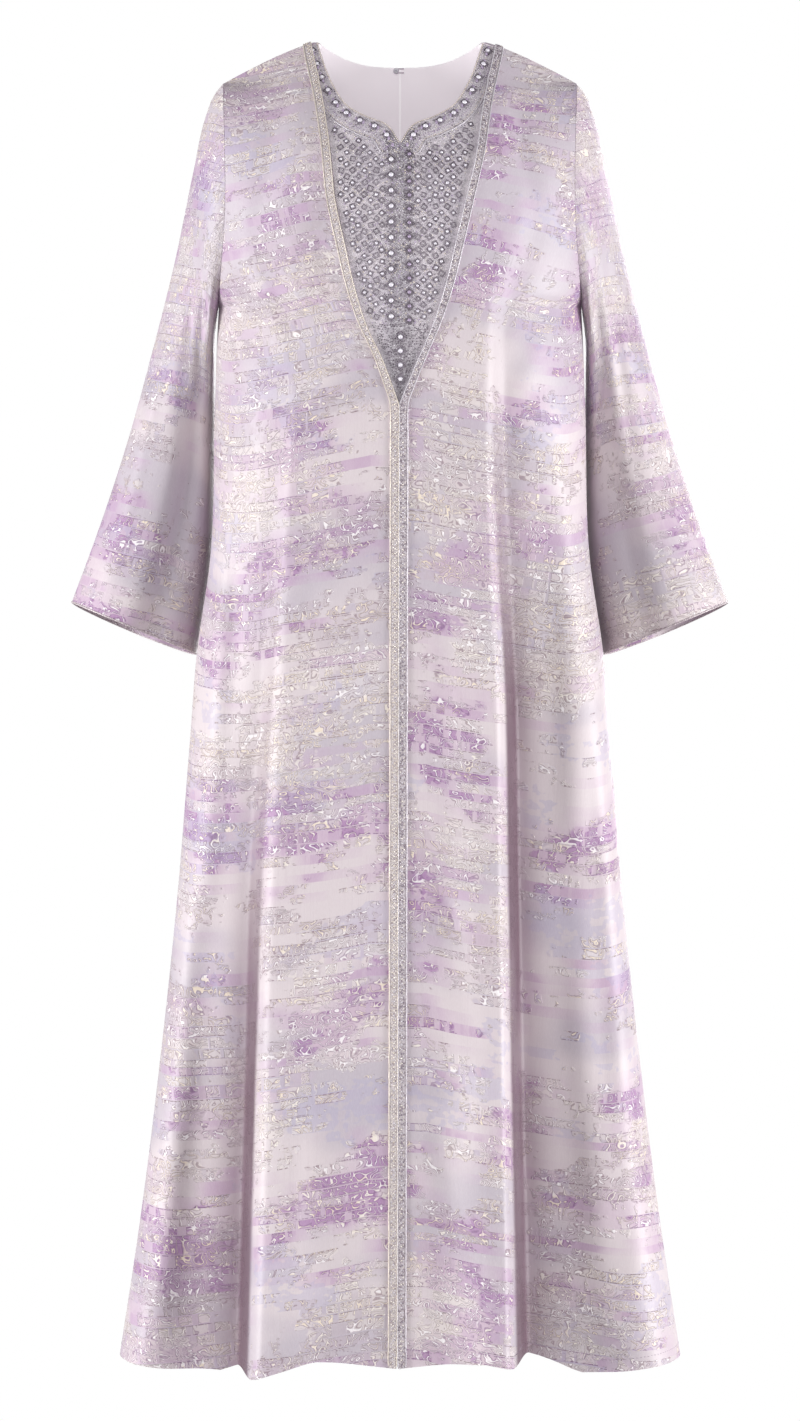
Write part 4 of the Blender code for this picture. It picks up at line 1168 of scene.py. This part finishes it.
# The border: rows of beads below the neckline, stones in settings and a cord
NeckRow = namedtuple("NeckRow", "below spacing size tone")
NECK_BEAD_ROWS = [
    NeckRow(0.0012, 0.0023, 0.00095, "gold"),
    NeckRow(0.0042, 0.0027, 0.00065, "silver"),
    NeckRow(0.0132, 0.0029, 0.00065, "silver"),
    NeckRow(0.0165, 0.0026, 0.00060, "lilac"),
    NeckRow(0.0215, 0.0027, 0.00070, "gold"),
    NeckRow(0.0262, 0.0024, 0.00075, "silver"),
]
BORDER_TONES = ("silver", "dark", "silver", "pearl", "lilac", "silver")
BORDER_TOP, BORDER_FOOT, BORDER_EDGE, BORDER_DROP = 0.0030, 0.0290, 0.003, 0.004
BORDER_STONES_BELOW, BORDER_STONE_GAP = 0.0086, 0.0172
BORDER_SETTING, BORDER_STONE, BETWEEN_STONE = 0.0045, 0.0029, 0.0019
CORD_BELOW, CORD_STEP, CORD_RADIUS = 0.0240, 0.0020, 0.0006

# The fields: square settings on a slanting lattice
FIELD_TONES = ("silver", "pearl", "lilac", "silver", "pewter", "gold")
SETTING_TONES = ("pewter", "pewter", "pewter", "dark")
FIELD_STEP, FIELD_ROW_STEP, FIELD_START, FIELD_COLUMNS = 0.0128, 0.0066, 0.02, 8
FIELD_TOP, FIELD_EDGE, FIELD_INNER = 0.0300, 0.0060, 0.0165
FIELD_SCATTER, SETTING_SIZES, SETTING_TURNS = 0.0005, (0.0027, 0.0033), (15, 75)
STONE_SHARE, STONE_IN_SETTING, FIELD_BALL = 0.6, 0.55, 0.0009

# The centre band, its two columns of stones, and the dark tip
BAND_TONES = ("silver", "dark", "silver", "lilac", "dark", "gold")
TIP_TONES = ("dark", "dark", "dark", "silver")
TIP_START = 0.318
CENTRE_EDGE, NOTCH_CLEAR = 0.0045, 0.004
CENTRE_SETTING, CENTRE_STONE, DROP_SETTING, DROP_STONE = 0.0046, 0.0027, 0.0038, 0.0021
STONE_COLUMN, STONE_FIRST, STONE_STEP, STONE_COUNT = -0.0095, 0.140, 0.017, 11
TIP_COLUMN, TIP_FIRST, TIP_STEP, TIP_COUNT = 0.0005, 0.332, 0.0150, 4
DROP_COLUMN, DROP_FIRST, DROP_STEP, DROP_COUNT = 0.0100, 0.134, 0.0150, 13

# Small beads: their sizes, how near they lie to a stone, and how high parts sit on the cloth
SMALL_BEADS = (0.00060, 0.00100)
BESIDE_STONE, BESIDE_SETTING = 0.0042, 0.0040
BEAD_LIFT, ROW_LIFT, STONE_LIFT, PART_LIFT, HIGH_LIFT = 0.0003, 0.0004, 0.0006, 0.0002, 0.0007
DIAMOND = math.pi / 4

# The braids' rows of beads by column, their cords, the cuffs' rims and the hem's stitches
BRAID_OUT, BRAID_SHELL = 0.0016, 0.0012
BRAID_ROWS = ((1, 0.0034, 0.00085), (3, 0.0034, 0.00085), (2, 0.0050, 0.00115))
BRAID_TONES = {RIGHT: ("pearl", "gold", "silver", "pearl"), LEFT: ("silver", "pewter", "silver", "pearl")}
CORD_TONES = {RIGHT: "gold", LEFT: "silver"}
BRAID_CORD_STEP = 0.0045
RIM_RADIUS, RIM_INSET = 0.0010, 0.06
STITCH_STEP, STITCH_HALF, STITCH_LIFT = 0.0042, 0.0011, 0.0001
STITCH_STRETCH = (1.0, 0.30, 0.18)


def yoke_points(across, drop, lift):
    """(points, normals) on the yoke's outer face, lifted off it."""
    across, drop = np.asarray(across, float), np.asarray(drop, float)
    side = np.where(across < 0, -1.0, 1.0)
    reach = np.abs(across)
    near, far = np.maximum(reach - SLOPE_NUDGE, 0.0), reach + SLOPE_NUDGE
    above, below = drop - SLOPE_NUDGE, drop + SLOPE_NUDGE
    depth = body_depth(FRONT, reach, drop)
    slope_x = (body_depth(FRONT, far, drop) - body_depth(FRONT, near, drop)) / (far - near)
    slope_z = (body_depth(FRONT, reach, above) - body_depth(FRONT, reach, below)) / (2 * SLOPE_NUDGE)
    normals = np.stack([-side * slope_x, -np.ones_like(depth), -slope_z], axis=-1)
    normals /= np.linalg.norm(normals, axis=-1, keepdims=True)
    places = np.stack([across, -depth, -drop], axis=-1)
    return places + normals * (lift - CLOTH - SEAM_GAP), normals


def yoke_gaps(across, drop):
    """(distance inside the V edge, distance below the neckline) of one place on the yoke."""
    edge = along(V_EDGE, "left" if across > 0 else "right", np.array(drop))
    gap = np.hypot(NECK_ACROSS - abs(across), NECK_DROP - drop).min()
    below = drop > np.interp(abs(across), NECK_ACROSS[::-1], NECK_DROP[::-1])
    return float(edge) - abs(across), gap if below else -gap


def neck_row(distance, spacing, side):
    """Places along the yoke's neckline, this far below it and this far apart."""
    slope_x, slope_z = np.gradient(NECK_ACROSS), np.gradient(NECK_DROP)
    length = np.hypot(slope_x, slope_z)
    across = NECK_ACROSS + distance * slope_z / length
    drop = NECK_DROP - distance * slope_x / length
    run = np.concatenate([[0.0], np.cumsum(np.hypot(np.diff(across), np.diff(drop)))])
    marks = np.arange(spacing / 2, run[-1], spacing)
    return np.stack([side * np.interp(marks, run, across), np.interp(marks, run, drop)], axis=1)


def yoke_grid(panels, directions, rows):
    """The beaded inner front: from its neckline, past the V edges and under the fronts."""
    halves = {}
    for side in (LEFT, RIGHT):
        last = rows[FRONT, side][ARMHOLE_ROWS + 2]
        edge = panels[FRONT, side][: last + 1, 0]
        places = np.linspace(0.0, 1.0, last + 1)
        neck_across = along(NECKLINE, "across", places)
        neck_drop = along(NECKLINE, "drop", places)
        points, outward = [], []
        for share in np.arange(YOKE_STEPS) / YOKE_STEPS:
            across = neck_across + (side * edge[:, 0] - neck_across) * share
            drop = neck_drop + (-edge[:, 2] - neck_drop) * share
            row, normals = yoke_points(side * across, drop, CLOTH + SEAM_GAP)
            row[0, 1] = edge[0, 1]
            normals[0] = mitre_on_plane(normals[0], 1)
            points.append(row)
            outward.append(normals)
        for column in range(0, 2 * COLUMN_SPLITS + 1, 2):
            points.append(panels[FRONT, side][: last + 1, column])
            outward.append(directions[FRONT, side][: last + 1, column])
        halves[side] = np.array(points).swapaxes(0, 1), np.array(outward).swapaxes(0, 1)
    middle = [(halves[LEFT][i][-1:] + halves[RIGHT][i][-1:]) / 2 for i in (0, 1)]
    return tuple(
        np.concatenate([halves[LEFT][i][:-1], middle[i], halves[RIGHT][i][-2::-1]]) for i in (0, 1)
    )


def fill_places(shuffle, count, spacing, allowed, across_range, drop_range):
    """Random places at least the spacing apart, where the test allows them."""
    kept = np.empty((0, 2))
    for _ in range(count):
        place = (shuffle.uniform(*across_range), shuffle.uniform(*drop_range))
        if allowed(*place) and (len(kept) == 0 or np.hypot(*(kept - place).T).min() > spacing):
            kept = np.vstack([kept, place])
    return kept


def away_from(places, others, least):
    """The places that lie further than the least gap from all the others."""
    gaps = np.hypot(*(places[:, None] - others[None, :]).transpose(2, 0, 1))
    return places[gaps.min(axis=1) > least]


def on_yoke(heap, template, places, sizes, tone, lift=PART_LIFT, turn=0.0, stretch=(1.0, 1.0, 1.0)):
    """Small parts at (across, drop) places on the yoke."""
    points, normals = yoke_points(places[:, 0], places[:, 1], lift)
    heap.scatter(template, points, normals, sizes, tone, turn, stretch)


def spread_beads(heap, shuffle, places, tones):
    """Small beads of mixed tones and sizes."""
    chosen = np.array([shuffle.choice(tones) for _ in places])
    sizes = np.array([shuffle.uniform(*SMALL_BEADS) for _ in places])
    for tone in sorted(set(chosen)):
        near = chosen == tone
        on_yoke(heap, BALL, places[near], sizes[near], tone, BEAD_LIFT)


def in_border(across, drop):
    """Whether a place lies in the border along the neckline."""
    beside, below = yoke_gaps(across, drop)
    return beside > BORDER_EDGE and BORDER_TOP < below < BORDER_FOOT and drop > BORDER_DROP


def in_field(across, drop):
    """Whether a place lies in one of the two lilac fields."""
    beside, below = yoke_gaps(across, drop)
    return abs(across) > FIELD_INNER and beside > FIELD_EDGE and below > FIELD_TOP and drop < TIP_START


def in_centre(across, drop):
    """Whether a place lies in the centre band."""
    beside, below = yoke_gaps(across, drop)
    inside = abs(across) < FIELD_INNER or drop >= TIP_START
    return inside and beside > CENTRE_EDGE and below > NOTCH_CLEAR


def border_beads(shuffle):
    """Rows of beads, stones in settings and a cord that follow the neckline."""
    heap = Heap()
    beads = fill_places(shuffle, 9000, 0.0022, in_border, (-0.1, 0.1), (0.0, 0.15))
    spread_beads(heap, shuffle, beads, BORDER_TONES)
    for side in (LEFT, RIGHT):
        for row in NECK_BEAD_ROWS:
            on_yoke(heap, BALL, neck_row(row.below, row.spacing, side), row.size, row.tone, ROW_LIFT)
        places = neck_row(BORDER_STONES_BELOW, BORDER_STONE_GAP, side)
        on_yoke(heap, SETTING, places, BORDER_SETTING, "pewter", turn=DIAMOND)
        on_yoke(heap, STONE, places, BORDER_STONE, "crystal", STONE_LIFT)
        between = away_from(neck_row(BORDER_STONES_BELOW, BORDER_STONE_GAP / 2, side), places, BESIDE_STONE)
        on_yoke(heap, STONE, between, BETWEEN_STONE, "lilac", ROW_LIFT, stretch=(0.8, 1.5, 1.0))
        cord = neck_row(CORD_BELOW, CORD_STEP, side)
        points, _ = yoke_points(cord[:, 0], cord[:, 1], CORD_RADIUS)
        heap.tube(points, CORD_RADIUS, "silver")
    return heap.build("yoke_border_beads")


def field_lattice(shuffle):
    """(places, half sizes, turns) of the settings in the fields."""
    places, half_sizes, turns = [], [], []
    for row in range(int((TIP_START - FIELD_START) / FIELD_ROW_STEP)):
        shift = FIELD_STEP / 2 if row % 2 else 0.0
        for column in range(-FIELD_COLUMNS, FIELD_COLUMNS + 1):
            across = column * FIELD_STEP + shift + shuffle.uniform(-FIELD_SCATTER, FIELD_SCATTER)
            drop = FIELD_START + row * FIELD_ROW_STEP + shuffle.uniform(-FIELD_SCATTER, FIELD_SCATTER)
            if in_field(across, drop):
                places.append((across, drop))
                half_sizes.append(shuffle.uniform(*SETTING_SIZES))
                turns.append(math.radians(shuffle.uniform(*SETTING_TURNS)))
    return np.array(places), np.array(half_sizes), np.array(turns)


def field_beads(shuffle):
    """Square settings on a slanting lattice, most of them with a stone, and small beads between."""
    heap = Heap()
    lattice, half_sizes, turns = field_lattice(shuffle)
    tones = np.array([shuffle.choice(SETTING_TONES) for _ in lattice])
    for tone in sorted(set(tones)):
        chosen = tones == tone
        on_yoke(heap, SETTING, lattice[chosen], half_sizes[chosen], tone, turn=turns[chosen])
    set_stone = np.array([shuffle.random() < STONE_SHARE for _ in lattice])
    stone_sizes = half_sizes[set_stone] * STONE_IN_SETTING
    on_yoke(heap, STONE, lattice[set_stone], stone_sizes, "crystal", STONE_LIFT)
    on_yoke(heap, BALL, lattice[~set_stone], FIELD_BALL, "silver", STONE_LIFT)
    beads = fill_places(shuffle, 16000, 0.0024, in_field, (-0.09, 0.09), (FIELD_START, TIP_START))
    spread_beads(heap, shuffle, away_from(beads, lattice, BESIDE_SETTING), FIELD_TONES)
    return heap.build("yoke_field_beads")


def centre_beads(shuffle):
    """Two columns of stones in a band of dense small beads, and the dark tip."""
    heap = Heap()
    stones = [(STONE_COLUMN, STONE_FIRST + STONE_STEP * i) for i in range(STONE_COUNT)]
    stones += [(TIP_COLUMN, TIP_FIRST + TIP_STEP * i) for i in range(TIP_COUNT)]
    drops = [(DROP_COLUMN, DROP_FIRST + DROP_STEP * i) for i in range(DROP_COUNT)]
    stones = np.array([place for place in stones if in_centre(*place)])
    drops = np.array([place for place in drops if in_centre(*place)])
    on_yoke(heap, SETTING, stones, CENTRE_SETTING, "pewter", turn=DIAMOND)
    on_yoke(heap, STONE, stones, CENTRE_STONE, "crystal", HIGH_LIFT)
    on_yoke(heap, SETTING, drops, DROP_SETTING, "dark", turn=DIAMOND)
    on_yoke(heap, STONE, drops, DROP_STONE, "lilac", STONE_LIFT)
    beads = fill_places(shuffle, 12000, 0.0019, in_centre, (-0.03, 0.03), (0.105, 0.400))
    beads = away_from(beads, np.concatenate([stones, drops]), BESIDE_STONE)
    low = beads[:, 1] > TIP_START
    spread_beads(heap, shuffle, beads[~low], BAND_TONES)
    spread_beads(heap, shuffle, beads[low], TIP_TONES)
    return heap.build("yoke_centre_beads")


def even_row(path, outward, spacing):
    """Points evenly spaced along a path, with the cloth's direction at each."""
    run = np.concatenate([[0.0], np.cumsum(np.linalg.norm(np.diff(path, axis=0), axis=1))])
    marks = np.arange(spacing / 2, run[-1], spacing)
    shares = np.linspace(0, marks[-1], len(path))
    points = np.stack([np.interp(marks, run, path[:, i]) for i in range(3)], axis=1)
    normals = np.stack([np.interp(marks, shares, outward[:, i]) for i in range(3)], axis=1)
    return points, normals


def braid_trim(side, shuffle):
    """Two raised cords and rows of beads along one braid."""
    heap = Heap()
    grid, outward = panels[FRONT, side], directions[FRONT, side]
    for column in (0, COLUMN_SPLITS):
        path = grid[:, column] + outward[:, column] * (BRAID_OUT + BEAD_LIFT)
        points, _ = even_row(path, outward[:, column], BRAID_CORD_STEP)
        heap.tube(points, CORD_RADIUS, CORD_TONES[side])
    for column, spacing, size in BRAID_ROWS:
        path = grid[:, column] + outward[:, column] * (BRAID_OUT + ROW_LIFT)
        points, normals = even_row(path, outward[:, column], spacing)
        chosen = np.array([shuffle.choice(BRAID_TONES[side]) for _ in points])
        for tone in sorted(set(chosen)):
            near = chosen == tone
            heap.scatter(BALL, points[near], normals[near], size, tone)
    return heap.build(f"braid_{SIDE_NAMES[side]}_beads")


def cuff_rim(side):
    """The rolled, speckled edge of a cuff."""
    heap = Heap()
    inside, ring = sleeves[side][-2:]
    path = ring + (inside - ring) * RIM_INSET
    heap.tube(np.concatenate([path, path[:2]]), RIM_RADIUS, "rim")
    return heap.build(f"cuff_{SIDE_NAMES[side]}_rim")


def hem_stitches(face, side):
    """The row of stitches that holds the hem's turning."""
    heap = Heap()
    row = rows[face, side][-2]
    outward = directions[face, side][row]
    points, normals = even_row(panels[face, side][row] + outward * STITCH_LIFT, outward, STITCH_STEP)
    heap.scatter(BALL, points, normals, STITCH_HALF, "thread", stretch=STITCH_STRETCH)
    return heap.build(f"hem_{FACE_NAMES[face]}_{SIDE_NAMES[side]}_stitches")


def dress(name, piece):
    """Let a piece of cloth take the place of its solid."""
    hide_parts(name)


panels, directions, rows, sleeves, sleeve_directions, shades = build_shapes()
brocade = brocade_material()
lining_satin = lining_material()
braids = {
    RIGHT: braid_material("braid_light", tint(220, 210, 210), tint(184, 170, 174), 0.44),
    LEFT: braid_material("braid_grey", tint(210, 200, 205), tint(168, 154, 163), 0.46),
}

# Each piece starts at its own place in the weave, so that no two show the same part of it
WEAVE_STARTS = {(FRONT, LEFT): 0.0, (FRONT, RIGHT): 5.0, (BACK, LEFT): 11.0, (BACK, RIGHT): 17.0}
SLEEVE_WEAVE_STARTS = {LEFT: 23.0, RIGHT: 29.0}
for (face, side), grid in panels.items():
    name = f"{FACE_NAMES[face]}_{SIDE_NAMES[side]}"
    weave = cloth_map(grid, SKIRT_SAG)
    weave[:, :, 0] += WEAVE_STARTS[face, side]
    outward, shade = directions[face, side], shades[face, side]
    dress(name, shell(f"cloth_{name}", grid, outward, SHELL, weave, brocade, shade=shade))
for side, grid in sleeves.items():
    name = f"sleeve_{SIDE_NAMES[side]}"
    weave = cloth_map(grid, wraps=True)
    turn = np.minimum(weave[:, :, 0], weave[:, -1:, 0] - weave[:, :, 0])
    weave[:, :, 1] -= SLEEVE_SAG * turn**2 * np.linspace(0.2, 1.0, len(grid))[:, None]
    weave[:, :, 0] += SLEEVE_WEAVE_STARTS[side]
    outward, shade = sleeve_directions[side], sleeve_shades()
    piece = shell(f"cloth_{name}", grid, outward, SHELL, weave, brocade, wraps=True, shade=shade)
    dress(name, piece)
for side in (LEFT, RIGHT):
    name = f"lining_{SIDE_NAMES[side]}"
    last_row = rows[BACK, side][LINING_ROWS - 1]
    last_column = (LINING_COLUMNS - 1) * COLUMN_SPLITS
    grid = panels[BACK, side][: last_row + 1, : last_column + 1]
    outward = directions[BACK, side][: last_row + 1, : last_column + 1]
    weave = cloth_map(grid)
    piece = shell(name + "_satin", grid, outward, SHELL, weave, lining_satin, offset=-LINING_OFFSET)
    dress(name, piece)

    name = f"braid_{SIDE_NAMES[side]}"
    grid = panels[FRONT, side][:, : COLUMN_SPLITS + 1]
    outward = directions[FRONT, side][:, : COLUMN_SPLITS + 1]
    weave = cloth_map(grid)
    piece = shell(name + "_band", grid, outward, BRAID_SHELL, weave, braids[side], offset=BRAID_OUT)
    dress(name, piece)
grid, outward = yoke_grid(panels, directions, rows)
weave = np.stack([grid[:, :, 0], -grid[:, :, 2]], axis=2)
piece = shell("yoke_cloth", grid, outward, SHELL, weave, yoke_material(), offset=-CLOTH - SEAM_GAP)
dress("yoke", piece)
for name, tone in (("neck_button", "crystal"), ("neck_loop", "thread")):
    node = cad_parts[name]
    node.data.materials.clear()
    node.data.materials.append(FINISHES[FINISH[tone]])

shuffle = random.Random(11)
going_along = {"yoke": [border_beads(shuffle), field_beads(shuffle), centre_beads(shuffle)]}
for side, side_name in SIDE_NAMES.items():
    going_along[f"braid_{side_name}"] = [braid_trim(side, shuffle)]
for side, side_name in SIDE_NAMES.items():
    going_along[f"sleeve_{side_name}"] = [cuff_rim(side)]
for face, side in panels:
    going_along[f"{FACE_NAMES[face]}_{SIDE_NAMES[side]}"] = [hem_stitches(face, side)]

# The form for cut sizes of the cloth: width, length and area of a flat piece, with held and rests_on; no
# piece is listed
Cut = namedtuple("Cut", "width length area held rests_on")

# A pale floor under the hem, which the camera sees as it sees the backdrop
FLOOR_SIZE, FLOOR_DROP = 12.0, 1.500
floor_mesh = bpy.data.meshes.new("floor")
floor_corners = [(x * FLOOR_SIZE / 2, y * FLOOR_SIZE / 2, 0) for x, y in SQUARE]
floor_mesh.from_pydata(floor_corners, [], [[0, 1, 2, 3]])
floor = bpy.data.objects.new("floor", floor_mesh)
floor.location = (0.0, 0.0, -FLOOR_DROP)
floor_finish = bpy.data.materials.new("floor")
floor_finish.use_nodes = True
floor_nodes = floor_finish.node_tree
floor_nodes.nodes.clear()
glow = floor_nodes.nodes.new("ShaderNodeEmission")
glow.inputs["Strength"].default_value = 1.0
floor_out = floor_nodes.nodes.new("ShaderNodeOutputMaterial")
floor_nodes.links.new(glow.outputs[0], floor_out.inputs["Surface"])
floor_mesh.materials.append(floor_finish)
floor.visible_diffuse = False
floor.visible_glossy = False
floor.visible_shadow = False
bpy.context.scene.collection.objects.link(floor)

# Camera
CAMERA_PLACE = (0.0, -6.0, -0.7326)
LENS, SENSOR = 138.8, 36.0
camera = bpy.data.objects.new("camera", bpy.data.cameras.new("camera"))
camera.data.lens = LENS
camera.data.sensor_width = SENSOR
camera.location = CAMERA_PLACE
camera.rotation_euler = (math.pi / 2, 0.0, 0.0)
bpy.context.scene.collection.objects.link(camera)
bpy.context.scene.camera = camera

# Studio lamps: metres and watts
Lamp = namedtuple("Lamp", "name place aim size power")
LAMPS = [
    Lamp("left", (-3.8, -1.3, -0.7), (0.0, 0.0, -0.9), 2.6, 156.0),
    Lamp("right", (3.8, -1.3, -0.8), (0.0, 0.0, -0.9), 2.6, 160.0),
    Lamp("front", (-0.3, -6.4, 0.6), (0.0, 0.0, -0.7), 3.4, 42.0),
    Lamp("top", (0.0, -1.0, 2.8), (0.0, 0.0, -0.5), 2.2, 6.0),
    Lamp("behind", (0.8, 3.4, 0.2), (0.0, 0.0, -0.7), 2.8, 80.0),
]
for lamp in LAMPS:
    light = bpy.data.lights.new(lamp.name, "AREA")
    light.shape = "DISK"
    light.size = lamp.size
    light.energy = lamp.power
    made = bpy.data.objects.new(lamp.name, light)
    made.location = lamp.place
    aim = np.array(lamp.aim) - np.array(lamp.place)
    across_turn = math.atan2(aim[1], aim[0]) - math.pi / 2
    made.rotation_euler = (math.acos(-aim[2] / np.linalg.norm(aim)), 0.0, across_turn)
    bpy.context.scene.collection.objects.link(made)

# The world: soft light on the cloth, and a white backdrop for the camera
WORLD_LIGHT, BACKDROP = 0.46, 1.0
WHITE_LIGHT = (1.0, 1.0, 1.0, 1.0)
world = bpy.data.worlds.new("studio")
bpy.context.scene.world = world
world.use_nodes = True
world_nodes, links = world.node_tree.nodes, world.node_tree.links
background = world_nodes["Background"]
shown = world_nodes.new("ShaderNodeBackground")
for node, strength in ((background, WORLD_LIGHT), (shown, BACKDROP)):
    node.inputs["Color"].default_value = WHITE_LIGHT
    node.inputs["Strength"].default_value = strength
rays = world_nodes.new("ShaderNodeLightPath")
either = world_nodes.new("ShaderNodeMixShader")
links.new(rays.outputs["Is Camera Ray"], either.inputs[0])
links.new(background.outputs[0], either.inputs[1])
links.new(shown.outputs[0], either.inputs[2])
links.new(either.outputs[0], world_nodes["World Output"].inputs["Surface"])
bpy.context.scene.view_settings.view_transform = "Standard"
